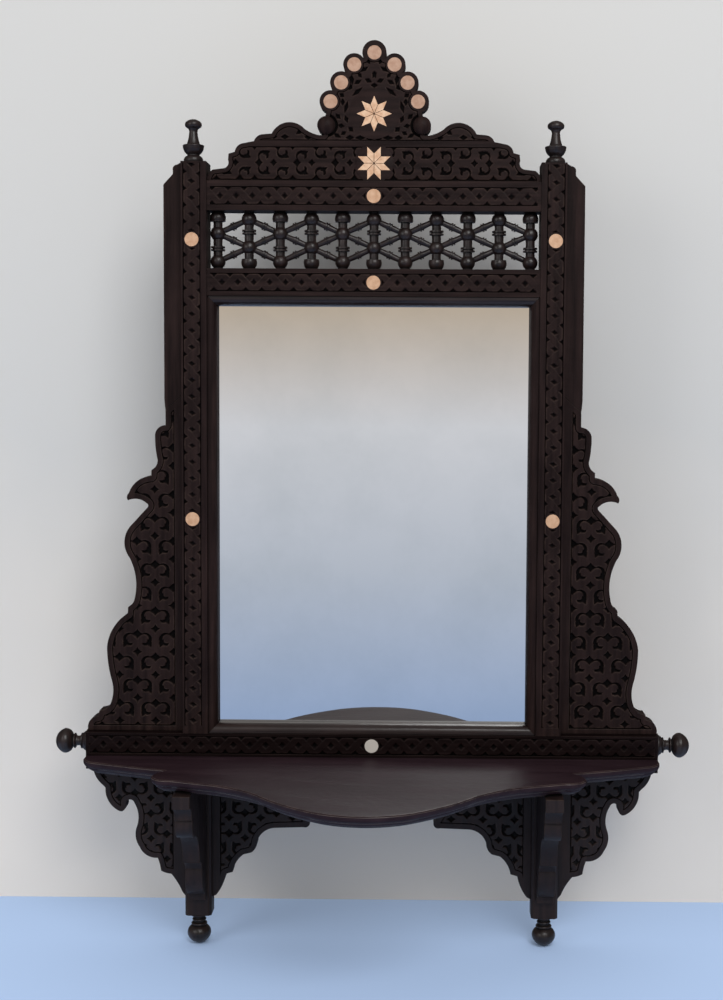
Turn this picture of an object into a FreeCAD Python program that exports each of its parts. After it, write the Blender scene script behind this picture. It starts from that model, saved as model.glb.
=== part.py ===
import FreeCAD
import Part
import math
import os

# Inlaid wall mirror with a turned lattice, carved side boards and a bracketed shelf.
# X runs to the right, Y from the front towards the wall, Z up, all in millimetres.
# The origin is on the wall plane, midway between the two hanging holes.
# A depth is a distance from the wall towards the front, so it is a negative Y.

# Fits and cuts
glue_gap = 0.1
pivot_gap = 0.08
button_gap = 0.3
overrun = 1.0
full_turn = 360.0

# Sight opening and the moulding round it
sight_width = 345.0
sight_height = 466.0
moulding_width = 10.5
moulding_front = 31.0
moulding_back = 16.0
moulding_flat = 3.0
moulding_lip = 6.0

# Stiles and rails
stile_width = 28.0
stile_depth = 34.0
stile_rise = 21.0
rail_depth = 33.0
bottom_rail_rise = 26.0
middle_rail_height = 30.0
top_rail_height = 32.0
lattice_height = 63.0

# Tenons, and where they lie in the depth of the frame
tenon_length = 16.0
tenon_thickness = 10.0
tenon_shoulder = 6.0
tenon_back = 12.0
foot_tenon_length = 11.0

# Sunk bands for the carving, and the round pads left in them for the bone discs
band_sink = 3.0
stile_band_width = 19.5
stile_band_inset = 6.5
stile_band_stop = 9.0
stile_band_head = 2.0
rail_band_width = 20.0
rail_band_stop = 4.0
disc_radius = 7.7
disc_pad_gap = 0.5
disc_seat = 2.5
stile_disc_heights_share = (0.3802, 0.8659)

# Turned lattice: spindles between the rails, rungs from bead to bead
spindle_count = 11
lattice_end_gap = 10.6
lattice_axis = 17.0
spindle_tenon_radius = 3.0
spindle_tenon_length = 6.0
bead_radius = 8.3
spindle_neck = 5.0
spindle_foot = 5.4
cap_radius = 8.3
cap_height = 11.0
cap_crown = 3.2
ring_radius = 7.8
ring_thickness = 1.8
ring_groove = 1.3
ring_groove_radius = 6.0
middle_bead_share = 0.38
end_bead_share = 0.87
ring_share = 0.645
rung_tenon_radius = 1.4
rung_tenon_length = 2.4
rung_seat = 0.7
rung_end = 3.0
rung_belly = 3.4
rung_ring = 4.6
rung_ring_thickness = 1.6
rung_ring_groove = 1.0

# Crest board, its lobes, bosses and inlaid stars
crest_height = 152.0
crest_back = 10.0
crest_thickness = 18.0
crest_border = 4.5
crest_foot_border = 1.5
crest_tongue = 6.0
crest_tongue_height = 6.0
crest_tongue_stop = 14.0
lobe_radius = 12.0
top_lobe_radius = 13.2
crest_pad_radius = 9.8
star_radius = 19.3
star_points = 8
star_seat = 2.5
star_line = 0.5
upper_star_pad = 27.5
lower_star_pad = 21.5
crest_strip_height = 6.6
boss_radius = 9.8
boss_dome = 6.0
boss_rim = 1.5
boss_peg_radius = 3.0
boss_peg_length = 6.0

# Half outline of the crest's lower part, as shares of half the crest's width and its height
crest_half_shares = [
    (0.0, 0.0),
    (1.0, 0.0),
    (1.0, 0.018),
    (0.985, 0.06, 0.965, 0.082),
    (0.897, 0.092),
    (0.876, 0.11, 0.873, 0.15),
    (0.87, 0.196),
    (0.833, 0.209),
    (0.815, 0.252, 0.776, 0.272),
    (0.718, 0.286),
    (0.7, 0.318, 0.672, 0.334),
    (0.612, 0.34),
    (0.516, 0.421, 0.415, 0.374),
    (0.375, 0.347, 0.33, 0.33),
    (0.3, 0.33),
    (0.3, 0.44),
    (0.26, 0.57),
    (0.2, 0.705),
    (0.12, 0.832),
    (0.0, 0.925),
]
lobe_centre_shares = [(0.0, 0.9168), (0.12, 0.832), (0.198, 0.704), (0.261, 0.57)]
boss_centre_shares = (0.286, 0.4)
upper_star_share = 0.484
lower_star_share = 0.132
crest_strip_share = 0.2487

# Finials on the stiles
finial_height = 47.5
finial_radius = 11.8
finial_peg_radius = 4.0
finial_peg_length = 14.0
finial_shares = [
    (0.0, 0.0),
    (0.84, 0.0),
    (0.9, 0.07, 0.68, 0.15),
    (0.57, 0.165),
    (0.57, 0.185),
    (0.64, 0.2),
    (0.88, 0.275, 0.98, 0.365),
    (1.0, 0.385, 0.96, 0.405),
    (0.62, 0.425),
    (0.49, 0.53, 0.4, 0.68),
    (0.41, 0.75, 0.52, 0.79),
    (0.7, 0.815),
    (0.78, 0.86, 0.72, 0.925),
]

# Plain boards outside the upper stiles
edge_board_width = 21.0
edge_board_depth = 22.0
edge_board_top = 1.0
edge_board_shares = [
    (0.0, 1.0),
    (0.27, 0.988),
    (0.44, 0.982, 0.5, 0.964),
    (0.5, 0.95),
    (1.0, 0.908),
    (1.0, 0.07),
]
edge_board_ease_shares = (0.985, 0.03)

# Carved wings beside the mirror
wing_width = 109.0
wing_height = 379.0
wing_depth = 22.0
wing_border = 6.0
wing_strip = 10.0
wing_sink = 3.0
wing_scarf_width = 19.74
wing_scarf_drop = 18.0
wing_shares = [
    (0.0, 0.0),
    (1.0, 0.0),
    (1.0, 0.012),
    (0.968, 0.033, 0.89, 0.043),
    (0.88, 0.06),
    (0.793, 0.069, 0.755, 0.087),
    (0.735, 0.117, 0.748, 0.149),
    (0.785, 0.201, 0.796, 0.251),
    (0.722, 0.311, 0.58, 0.351),
    (0.576, 0.37),
    (0.529, 0.381, 0.507, 0.396),
    (0.492, 0.448, 0.557, 0.516),
    (0.606, 0.574, 0.525, 0.617),
    (0.372, 0.665),
    (0.363, 0.672, 0.38, 0.678),
    (0.46, 0.69, 0.57, 0.686),
    (0.58, 0.698, 0.56, 0.708),
    (0.48, 0.742, 0.33, 0.758),
    (0.328, 0.776),
    (0.284, 0.787, 0.264, 0.805),
    (0.283, 0.838, 0.29, 0.876),
    (0.258, 0.899, 0.181, 0.908),
]

# Shelf, its moulded edge and the tongue that enters the bottom rail
shelf_thickness = 15.0
shelf_reach = 228.0
shelf_edge = 13.0
shelf_corner = 1.0
shelf_tongue = 5.0
shelf_tongue_length = 6.0
shelf_tongue_stop = 24.0
shelf_half_shares = [
    (1.0, 0.0),
    (1.0, 0.05),
    (0.985, 0.105, 0.94, 0.145),
    (0.84, 0.2, 0.69, 0.27),
    (0.718, 0.32, 0.724, 0.375),
    (0.705, 0.425, 0.65, 0.45),
    (0.56, 0.495),
    (0.44, 0.57, 0.352, 0.675),
    (0.26, 0.825, 0.15, 0.945),
]
shelf_front_share = 1.0
shelf_edge_shares = [
    (0.1, 0.0),
    (0.0, 0.08),
    (0.0, 0.26),
    (0.07, 0.4),
    (0.2, 0.5),
    (0.3, 0.51),
    (0.31, 0.57),
    (0.42, 0.7),
    (0.6, 0.81),
    (0.82, 0.87),
    (0.87, 0.94),
    (1.0, 1.0),
]

# Posts, brackets and carved aprons under the shelf
post_inset = 1.0
post_width = 30.0
post_depth = 24.0
post_drop = 171.0
post_chamfer = 3.0
bracket_thickness = 19.0
bracket_reach = 119.0
bracket_drop = 150.0
bracket_shares = [
    (0.0, 0.0),
    (0.0, 1.0),
    (1.0, 1.0),
    (1.0, 0.905),
    (0.915, 0.885, 0.87, 0.8),
    (0.83, 0.79),
    (0.8, 0.68, 0.69, 0.64),
    (0.63, 0.63),
    (0.47, 0.53, 0.41, 0.375),
    (0.34, 0.36),
    (0.3, 0.335, 0.26, 0.29),
    (0.22, 0.13, 0.07, 0.05),
    (0.07, 0.0),
]
apron_depth = 16.0
apron_border = 6.0
apron_sink = 3.0
apron_height = 151.0
outer_apron_width = 105.0
outer_apron_strip = 14.0
inner_apron_width = 111.0
inner_apron_strip = 9.0
outer_apron_shares = [
    (0.0, 1.0),
    (1.0, 1.0),
    (0.965, 0.905, 0.9, 0.85),
    (0.866, 0.826),
    (0.835, 0.725, 0.72, 0.649),
    (0.69, 0.645),
    (0.652, 0.67, 0.645, 0.715),
    (0.6, 0.737, 0.555, 0.712),
    (0.512, 0.62, 0.53, 0.53),
    (0.54, 0.44, 0.5, 0.375),
    (0.43, 0.315, 0.305, 0.293),
    (0.285, 0.25, 0.27, 0.195),
    (0.215, 0.178, 0.16, 0.172),
    (0.095, 0.11, 0.04, 0.035),
    (0.0, 0.0),
]
inner_apron_shares = [
    (0.0, 1.0),
    (0.8, 1.0),
    (0.9, 0.7, 1.0, 0.575),
    (0.985, 0.545, 0.935, 0.537),
    (0.64, 0.53),
    (0.53, 0.5, 0.46, 0.425),
    (0.44, 0.37, 0.4, 0.34),
    (0.32, 0.325),
    (0.25, 0.27, 0.21, 0.19),
    (0.14, 0.175),
    (0.105, 0.09, 0.04, 0.013),
    (0.0, 0.0),
]

# Turned pendants under the posts and knobs on the ends of the bottom rail
pendant_height = 33.0
pendant_radius = 13.3
pendant_axis = 15.0
pendant_shares = [
    (0.0, 0.0),
    (0.7, 0.0),
    (0.7, 0.04),
    (0.5, 0.08, 0.42, 0.13),
    (0.54, 0.15),
    (0.59, 0.18, 0.54, 0.21),
    (0.43, 0.23),
    (0.43, 0.27),
    (0.63, 0.29),
    (0.68, 0.325, 0.63, 0.36),
    (0.58, 0.38),
    (0.88, 0.48, 1.0, 0.68),
]
knob_length = 37.0
knob_radius = 14.3
knob_shares = [
    (0.0, 0.0),
    (0.9, 0.0),
    (0.9, 0.05),
    (0.78, 0.075),
    (0.7, 0.13, 0.56, 0.17),
    (0.61, 0.185),
    (0.61, 0.215),
    (0.43, 0.235),
    (0.38, 0.31, 0.41, 0.38),
    (0.55, 0.395),
    (0.6, 0.42, 0.55, 0.445),
    (0.44, 0.46),
    (0.52, 0.49),
    (0.84, 0.57, 0.96, 0.74),
]
turned_peg_radius = 4.0
turned_peg_length = 12.0

# Mirror glass, backboard and the brass buttons that hold them
glass_thickness = 4.0
backboard_thickness = 4.0
pane_clearance = 1.0
button_ledge = 14.0
button_reach = 20.0
button_width = 10.0
button_thickness = 2.2
button_height_share = 0.27
button_screw_radius = 1.5
button_screw_length = 10.0
button_head_radius = 3.2
button_head_height = 1.8

# Keyhole hangers let into the backs of the stiles
hanger_width = 18.0
hanger_height = 48.0
hanger_thickness = 1.6
keyhole_radius = 4.5
keyslot_radius = 2.2
keyslot_rise = 9.0
hanger_pocket_depth = 9.0
hanger_pocket_margin = 1.5
hanger_screw_offset = 19.0
hanger_screw_radius = 1.5
hanger_screw_length = 12.0
hanger_head_radius = 3.2

# Places that follow from the sizes above
frame_half = sight_width / 2 + moulding_width
stile_outer = frame_half + stile_width
stile_middle = frame_half + stile_width / 2
band_inner = frame_half + stile_band_inset
stile_axis = band_inner + stile_band_width / 2
rail_half = stile_outer + wing_width
post_axis = stile_middle - post_inset
spindle_pitch = 2 * (frame_half - lattice_end_gap) / (spindle_count - 1)
middle_rail_top = -lattice_height / 2
middle_rail_bottom = middle_rail_top - middle_rail_height
top_rail_bottom = lattice_height / 2
top_rail_top = top_rail_bottom + top_rail_height
stile_top = top_rail_top + stile_rise
sight_top = middle_rail_bottom - moulding_width
bottom_rail_top = sight_top - sight_height - moulding_width
sight_middle = (bottom_rail_top + middle_rail_bottom) / 2
shelf_top = bottom_rail_top - bottom_rail_rise
shelf_bottom = shelf_top - shelf_thickness
crest_front = crest_back + crest_thickness
crest_half = frame_half
ledge_depth = moulding_back - glass_thickness - backboard_thickness
bottom_band_middle = (shelf_top + bottom_rail_top) / 2
middle_band_middle = (middle_rail_bottom + middle_rail_top) / 2
top_band_middle = (top_rail_bottom + top_rail_top) / 2
bead_heights = {
    False: (lattice_height * middle_bead_share, lattice_height * end_bead_share),
    True: (lattice_height * (1 - end_bead_share), lattice_height * (1 - middle_bead_share)),
}
disc_pad_radius = stile_band_width / 2 - disc_pad_gap

pieces = {}


def at(x, depth, z):
    """A point by its X, its distance from the wall and its height."""
    return FreeCAD.Vector(x, -depth, z)


def slab(x0, x1, depth0, depth1, z0, z1):
    """A square block between two X, two depths and two heights."""
    return Part.makeBox(x1 - x0, depth1 - depth0, z1 - z0, at(x0, depth1, z0))


def peg(x, z, radius, depth0, depth1):
    """A round peg that stands out from the wall."""
    return Part.makeCylinder(radius, depth1 - depth0, at(x, depth0, z), at(0, 1, 0))


def rod(x, depth, radius, z0, z1):
    """A round upright."""
    return Part.makeCylinder(radius, z1 - z0, at(x, depth, z0))


def mirrored(shape):
    """The left-hand twin of a right-hand piece."""
    return shape.mirror(at(0, 0, 0), FreeCAD.Vector(1, 0, 0))


def outline(steps, place):
    """A flat face inside lines and three-point arcs, with its points set by a place function."""
    start = place(*steps[0])
    here = start
    edges = []
    for step in steps[1:]:
        end = place(*step[-2:])
        if len(step) == 2:
            edges.append(Part.LineSegment(here, end).toShape())
        else:
            edges.append(Part.Arc(here, place(*step[:2]), end).toShape())
        here = end
    if here.distanceToPoint(start) > glue_gap:
        edges.append(Part.LineSegment(here, start).toShape())
    return Part.Face(Part.Wire(edges))


def both_halves(steps):
    """The right half of an outline, carried on round the left half to where it began."""
    left = []
    for before, step in zip(reversed(steps[:-1]), reversed(steps[1:])):
        end = before[-2:]
        mid = step[:2] if len(step) == 4 else ()
        left.append(tuple(part for part in mid_and_end(mid, end)))
    return steps + left


def mid_and_end(mid, end):
    """One mirrored outline step from its mid point, if any, and its end."""
    mirrored_mid = (-mid[0], mid[1]) if mid else ()
    return mirrored_mid + (-end[0], end[1])


def board(face, thickness):
    """A board that stands from a face towards the front."""
    return face.extrude(at(0, thickness, 0))


def revolved(steps):
    """A solid turned about Z from steps of radius and height."""
    profile = outline(steps, lambda r, t: FreeCAD.Vector(r, 0, t))
    return profile.revolve(at(0, 0, 0), FreeCAD.Vector(0, 0, 1), full_turn)


def crown(radius, base, top):
    """The last step of a turned profile: a spherical crown from its rim to the axis."""
    rise = top - base
    ball = (radius**2 + rise**2) / (2 * rise)
    swing = math.atan2(radius, ball - rise) / 2
    return (ball * math.sin(swing), top - ball * (1 - math.cos(swing)), 0.0, top)


def turned(shares, radius, height):
    """A crowned solid turned about Z from shares of its radius and its height."""
    steps = []
    for share in shares:
        sizes = (radius, height) * (len(share) // 2)
        steps.append(tuple(part * size for part, size in zip(share, sizes)))
    return revolved(steps + [crown(*steps[-1][-2:], height)])


def front_face(shape, depth):
    """The widest flat face of a board at the given depth."""
    faces = []
    for face in shape.Faces:
        box = face.BoundBox
        if abs(box.YMin + depth) < glue_gap and abs(box.YMax + depth) < glue_gap:
            faces.append(face)
    return max(faces, key=lambda face: face.Area)


def sunk_field(shape, depth, border, sink):
    """What is cut from a board's face to sink all but a border of even width."""
    field = front_face(shape, depth).makeOffset2D(-border)
    field.translate(at(0, -sink, 0))
    return field.extrude(at(0, sink + overrun, 0))


def tenon_block(x0, x1, z0, z1, gap):
    """A tenon's block in the depth of the frame, or its mortise when it is given a gap."""
    back = tenon_back - gap
    front = tenon_back + tenon_thickness + gap
    return slab(x0 - gap, x1 + gap, back, front, z0 - gap, z1 + gap)


def rail_tenon(z0, z1, gap):
    """A rail's right-hand tenon, or its mortise."""
    low = z0 + tenon_shoulder
    high = z1 - tenon_shoulder
    return tenon_block(frame_half, frame_half + tenon_length, low, high, gap)


def foot_tenon(gap):
    """The tenon under the right-hand stile, or its mortise in the bottom rail."""
    low = bottom_rail_top - foot_tenon_length
    inner = frame_half + tenon_shoulder
    outer = stile_outer - tenon_shoulder
    return tenon_block(inner, outer, low, bottom_rail_top, gap)


def post_tenon(gap):
    """The tenon on top of the right-hand post, or its mortise in the bottom rail."""
    half = post_width / 2 - tenon_shoulder
    high = shelf_bottom + foot_tenon_length
    return tenon_block(post_axis - half, post_axis + half, shelf_bottom, high, gap)


def crest_tongue_block(gap):
    """The tongue under the crest board, or its groove in the top rail."""
    half = crest_half - crest_tongue_stop + gap
    back = crest_back + (crest_thickness - crest_tongue) / 2 - gap
    front = back + crest_tongue + 2 * gap
    return slab(-half, half, back, front, top_rail_top - crest_tongue_height - gap, top_rail_top)


def shelf_tongue_block(gap):
    """The tongue behind the shelf, or its groove in the bottom rail."""
    half = rail_half - shelf_tongue_stop + gap
    middle = (shelf_top + shelf_bottom) / 2
    low = middle - shelf_tongue / 2 - gap
    high = middle + shelf_tongue / 2 + gap
    return slab(-half, half, rail_depth - shelf_tongue_length - gap, rail_depth, low, high)


def disc_places():
    """X, height and face depth of each bone disc on the frame."""
    places = [
        (0.0, bottom_band_middle, rail_depth),
        (0.0, middle_band_middle, rail_depth),
        (0.0, top_band_middle, rail_depth),
    ]
    for share in stile_disc_heights_share:
        height = bottom_rail_top + share * (stile_top - bottom_rail_top)
        for side in (-1, 1):
            places.append((side * stile_axis, height, stile_depth))
    return places


def lobe_places():
    """X and height of each lobe on the crest."""
    places = []
    for x_share, z_share in lobe_centre_shares:
        height = top_rail_top + z_share * crest_height
        for side in (-1, 1) if x_share else (1,):
            places.append((side * x_share * crest_half, height))
    return places


def lobe_rounds(depth0, depth1):
    """The lobes as round pegs, the one on top larger than the rest."""
    rounds = []
    for x, z in lobe_places():
        rounds.append(peg(x, z, lobe_radius if x else top_lobe_radius, depth0, depth1))
    return rounds


def seat_cut(x, z, depth):
    """The blind hole that a bone disc is glued into."""
    return peg(x, z, disc_radius + glue_gap, depth - disc_seat, depth + overrun)


def band_cut(block, axis_faces):
    """A sunk band with round pads left standing under the discs that fall in it."""
    box = block.BoundBox
    pads = []
    for x, z, depth in axis_faces:
        if box.XMin < x < box.XMax and box.ZMin < z < box.ZMax:
            pads.append(peg(x, z, disc_pad_radius, depth - band_sink, depth + overrun))
    return block.cut(pads) if pads else block


def rail_band(half, middle):
    """The sunk band along the face of a rail."""
    low = middle - rail_band_width / 2
    block = slab(-half, half, rail_depth - band_sink, rail_depth + overrun, low, low + rail_band_width)
    return band_cut(block, disc_places())


def seats_within(half, middle):
    """The disc seats that lie on one rail."""
    reach = rail_band_width / 2
    return [seat_cut(x, z, d) for x, z, d in disc_places() if abs(x) < half and abs(z - middle) < reach]


def spindle_places():
    """X of each spindle, and whether it stands upside down."""
    first = -spindle_pitch * (spindle_count - 1) / 2
    return [(first + i * spindle_pitch, i % 2 == 1) for i in range(spindle_count)]


def spindle_sockets(z0, z1):
    """The holes that the spindles' tenons enter."""
    radius = spindle_tenon_radius + glue_gap
    return [rod(x, lattice_axis, radius, z0, z1) for x, _ in spindle_places()]


def button_places():
    """Name, pivot X, pivot height and turn of each button about the wall's normal."""
    step = button_ledge / 2
    rise = button_height_share * sight_height
    side_x = frame_half + step
    return [
        ("upper_left", -side_x, sight_middle + rise, 0),
        ("lower_left", -side_x, sight_middle - rise, 0),
        ("upper_right", side_x, sight_middle + rise, full_turn / 2),
        ("lower_right", side_x, sight_middle - rise, full_turn / 2),
        ("top", 0.0, middle_rail_bottom + step, full_turn / 4),
        ("bottom", 0.0, bottom_rail_top - step, -full_turn / 4),
    ]


def button_screw_hole(x, z):
    """The pilot hole of a button's screw in the frame."""
    radius = button_screw_radius + glue_gap
    return peg(x, z, radius, ledge_depth - overrun, ledge_depth + button_screw_length + glue_gap)


def button_holes(x0, x1, z0, z1):
    """The pilot holes that fall inside one frame member."""
    return [button_screw_hole(x, z) for _, x, z, _ in button_places() if x0 < x < x1 and z0 < z < z1]


def stile():
    """Right-hand stile with its band, mortises, ledge and hanger recess."""
    body = slab(frame_half, stile_outer, 0, stile_depth, bottom_rail_top, stile_top)
    body = body.fuse(foot_tenon(0))
    band = slab(
        band_inner,
        band_inner + stile_band_width,
        stile_depth - band_sink,
        stile_depth + overrun,
        bottom_rail_top + stile_band_stop,
        stile_top - stile_band_head,
    )
    ledge = slab(
        frame_half - overrun,
        frame_half + button_ledge,
        -overrun,
        ledge_depth,
        bottom_rail_top - overrun,
        middle_rail_bottom,
    )
    socket_low = stile_top - finial_peg_length - glue_gap
    socket = rod(stile_axis, stile_depth / 2, finial_peg_radius + glue_gap, socket_low, stile_top + overrun)
    cuts = [band_cut(band, disc_places()), ledge, socket]
    cuts.append(rail_tenon(middle_rail_bottom, middle_rail_top, glue_gap))
    cuts.append(rail_tenon(top_rail_bottom, top_rail_top, glue_gap))
    cuts += [seat_cut(x, z, d) for x, z, d in disc_places() if x > frame_half]
    cuts += button_holes(frame_half, stile_outer, bottom_rail_top, stile_top)
    cuts += hanger_recess()
    return body.cut(cuts).removeSplitter()


def hanger_recess():
    """The recess, the pocket for a screw head and the screw holes behind a hanger plate."""
    half = hanger_width / 2 + glue_gap
    rise = hanger_height / 2 + glue_gap
    plate = slab(stile_middle - half, stile_middle + half, -overrun, hanger_thickness, -rise, rise)
    reach = keyhole_radius + hanger_pocket_margin
    pocket = slab(
        stile_middle - reach,
        stile_middle + reach,
        0,
        hanger_pocket_depth,
        -reach,
        keyslot_rise + reach,
    )
    cuts = [plate, pocket]
    for side in (-1, 1):
        depth = hanger_thickness + hanger_screw_length + glue_gap
        cuts.append(peg(stile_middle, side * hanger_screw_offset, hanger_screw_radius + glue_gap, 0, depth))
    return cuts


def top_rail():
    """Rail above the lattice, grooved for the crest."""
    body = slab(-frame_half, frame_half, 0, rail_depth, top_rail_bottom, top_rail_top)
    tenon = rail_tenon(top_rail_bottom, top_rail_top, 0)
    body = body.fuse([tenon, mirrored(tenon)])
    cuts = [rail_band(frame_half - rail_band_stop, top_band_middle), crest_tongue_block(glue_gap)]
    cuts += spindle_sockets(top_rail_bottom - overrun, top_rail_bottom + spindle_tenon_length + glue_gap)
    cuts += seats_within(frame_half, top_band_middle)
    return body.cut(cuts).removeSplitter()


def middle_rail():
    """Rail between the lattice and the mirror."""
    body = slab(-frame_half, frame_half, 0, rail_depth, middle_rail_bottom, middle_rail_top)
    tenon = rail_tenon(middle_rail_bottom, middle_rail_top, 0)
    body = body.fuse([tenon, mirrored(tenon)])
    low = middle_rail_bottom - overrun
    ledge = slab(-frame_half, frame_half, -overrun, ledge_depth, low, middle_rail_bottom + button_ledge)
    cuts = [rail_band(frame_half - rail_band_stop, middle_band_middle), ledge]
    cuts += spindle_sockets(middle_rail_top - spindle_tenon_length - glue_gap, middle_rail_top + overrun)
    cuts += seats_within(frame_half, middle_band_middle)
    cuts += button_holes(-frame_half, frame_half, middle_rail_bottom, middle_rail_top)
    return body.cut(cuts).removeSplitter()


def bottom_rail():
    """Long rail that carries the stiles, the wings, the shelf and the posts."""
    body = slab(-rail_half, rail_half, 0, rail_depth, shelf_bottom, bottom_rail_top)
    low = bottom_rail_top - button_ledge
    ledge = slab(-frame_half, frame_half, -overrun, ledge_depth, low, bottom_rail_top + overrun)
    cuts = [rail_band(rail_half - rail_band_stop, bottom_band_middle), ledge, shelf_tongue_block(glue_gap)]
    for mortise in (foot_tenon(glue_gap), post_tenon(glue_gap), knob_socket()):
        cuts += [mortise, mirrored(mortise)]
    cuts += seats_within(frame_half, bottom_band_middle)
    cuts += button_holes(-frame_half, frame_half, low, bottom_rail_top)
    return body.cut(cuts).removeSplitter()


def knob_socket():
    """The hole for a knob's peg in the right-hand end of the bottom rail."""
    length = turned_peg_length + glue_gap + overrun
    start = at(rail_half - turned_peg_length - glue_gap, rail_depth / 2, bottom_band_middle)
    return Part.makeCylinder(turned_peg_radius + glue_gap, length, start, FreeCAD.Vector(1, 0, 0))


def moulding_stick(length):
    """One stick of sight moulding along X, mitred, with its outer edge down on Z zero."""
    round_middle = (moulding_width + moulding_flat) / 2
    crown = moulding_front - moulding_back - moulding_lip
    round_depth = moulding_front - crown * (1 - math.sqrt(0.75))
    steps = [
        (0, moulding_back),
        (0, moulding_front),
        (moulding_flat, moulding_front),
        (round_middle, round_depth, moulding_width, moulding_back + moulding_lip),
        (moulding_width, moulding_back),
    ]
    face = outline(steps, lambda inward, depth: at(-length / 2, depth, inward))
    stick = face.extrude(FreeCAD.Vector(length, 0, 0))
    reach = moulding_width + overrun
    for side in (-1, 1):
        corner = [
            (side * length / 2, 0),
            (side * (length / 2 + reach), 0),
            (side * (length / 2 + reach), reach),
            (side * (length / 2 - reach), reach),
        ]
        wedge = outline(corner, lambda x, z: at(x, moulding_back - overrun, z))
        stick = stick.cut(board(wedge, moulding_front - moulding_back + 2 * overrun))
    return stick


def sight_mouldings():
    """The four mitred sticks that frame the glass."""
    height = middle_rail_bottom - bottom_rail_top
    bottom = moulding_stick(2 * frame_half)
    bottom.translate(at(0, 0, bottom_rail_top))
    top = moulding_stick(2 * frame_half)
    top.rotate(at(0, 0, 0), FreeCAD.Vector(0, 1, 0), full_turn / 2)
    top.translate(at(0, 0, middle_rail_bottom))
    right = moulding_stick(height)
    right.rotate(at(0, 0, 0), FreeCAD.Vector(0, 1, 0), -full_turn / 4)
    right.translate(at(frame_half, 0, sight_middle))
    pieces["sight_moulding_top"] = top
    pieces["sight_moulding_bottom"] = bottom
    pieces["sight_moulding_right"] = right
    pieces["sight_moulding_left"] = mirrored(right)


def crest_place(x_share, z_share):
    """A point of the crest's outline."""
    return at(x_share * crest_half, crest_back, top_rail_top + z_share * crest_height)


def star_face(centre_z, radius, turn, depth):
    """An eight-pointed star whose points are rhombi that meet in the middle."""
    notch = radius / (2 * math.cos(math.pi / star_points))
    points = []
    for k in range(2 * star_points):
        reach = radius if k % 2 == 0 else notch
        angle = turn + k * math.pi / star_points
        points.append((reach * math.sin(angle), centre_z + reach * math.cos(angle)))
    return outline(points, lambda x, z: at(x, depth, z))


def star_rhombi(centre_z, turn):
    """The eight bone rhombi of one star, a fine dark line apart."""
    shift = star_line / 2 / math.sin(math.pi / star_points)
    radius = star_radius - shift
    notch = radius / (2 * math.cos(math.pi / star_points))
    depth = crest_front - star_seat
    rhombi = []
    for k in range(star_points):
        middle = turn + 2 * k * math.pi / star_points
        points = []
        for reach, swing in ((0, 0), (notch, -1), (radius, 0), (notch, 1)):
            angle = middle + swing * math.pi / star_points
            x = reach * math.sin(angle) + shift * math.sin(middle)
            z = reach * math.cos(angle) + shift * math.cos(middle)
            points.append((x, centre_z + z))
        rhombus = outline(points, lambda x, z: at(x, depth, z))
        rhombi.append(board(rhombus, star_seat))
    return Part.makeCompound(rhombi)


def star_places():
    """Name, height, turn and pad radius of each star on the crest."""
    upper = top_rail_top + upper_star_share * crest_height
    lower = top_rail_top + lower_star_share * crest_height
    return [
        ("star_upper", upper, 0.0, upper_star_pad),
        ("star_lower", lower, math.pi / star_points, lower_star_pad),
    ]


def crest_board():
    """Arched crest with lobes, sunk carving fields and seats for its inlays."""
    body = board(outline(both_halves(crest_half_shares), crest_place), crest_thickness)
    rounds = lobe_rounds(crest_back, crest_front)
    boss = crest_place(*boss_centre_shares)
    for side in (-1, 1):
        rounds.append(peg(side * boss.x, boss.z, boss_radius, crest_back, crest_front))
    body = body.fuse(rounds).removeSplitter()
    sink_depth = crest_front - band_sink
    top = crest_front + 2 * overrun
    islands = [peg(x, z, crest_pad_radius, sink_depth, top) for x, z in lobe_places()]
    islands += [peg(0, z, pad, sink_depth, top) for _, z, _, pad in star_places()]
    islands += [peg(side * boss.x, boss.z, boss_radius, sink_depth, top) for side in (-1, 1)]
    strip_low = top_rail_top + crest_strip_share * crest_height
    islands.append(slab(-crest_half, crest_half, sink_depth, top, strip_low, strip_low + crest_strip_height))
    foot = top_rail_top - crest_border + crest_foot_border
    skirt = slab(-crest_half, crest_half, crest_back, crest_front, foot, top_rail_top)
    lengthened = body.fuse(skirt).removeSplitter()
    field = sunk_field(lengthened, crest_front, crest_border, band_sink).cut(islands)
    cuts = [field]
    cuts += [seat_cut(x, z, crest_front) for x, z in lobe_places()]
    for _, z, turn, _ in star_places():
        seat = star_face(z, star_radius + glue_gap, turn, crest_front - star_seat)
        cuts.append(board(seat, star_seat + overrun))
    for side in (-1, 1):
        socket_depth = crest_front - boss_peg_length - glue_gap
        socket_radius = boss_peg_radius + glue_gap
        cuts.append(peg(side * boss.x, boss.z, socket_radius, socket_depth, crest_front + overrun))
    return body.cut(cuts).fuse(crest_tongue_block(0)).removeSplitter()


def crest_boss():
    """Right-hand turned boss at the foot of the crest's arch."""
    rim = [(0, 0), (boss_radius, 0), (boss_radius, boss_rim)]
    dome = revolved(rim + [crown(boss_radius, boss_rim, boss_dome)])
    dome = dome.fuse(Part.makeCylinder(boss_peg_radius, boss_peg_length, at(0, 0, -boss_peg_length)))
    dome.rotate(at(0, 0, 0), FreeCAD.Vector(1, 0, 0), full_turn / 4)
    boss = crest_place(*boss_centre_shares)
    dome.translate(at(boss.x, crest_front, boss.z))
    return dome.removeSplitter()


def finial():
    """Right-hand finial, pegged into the top of the stile."""
    body = turned(finial_shares, finial_radius, finial_height)
    body = body.fuse(rod(0, 0, finial_peg_radius, -finial_peg_length, 0))
    body.translate(at(stile_axis, stile_depth / 2, stile_top))
    return body.removeSplitter()


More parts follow.
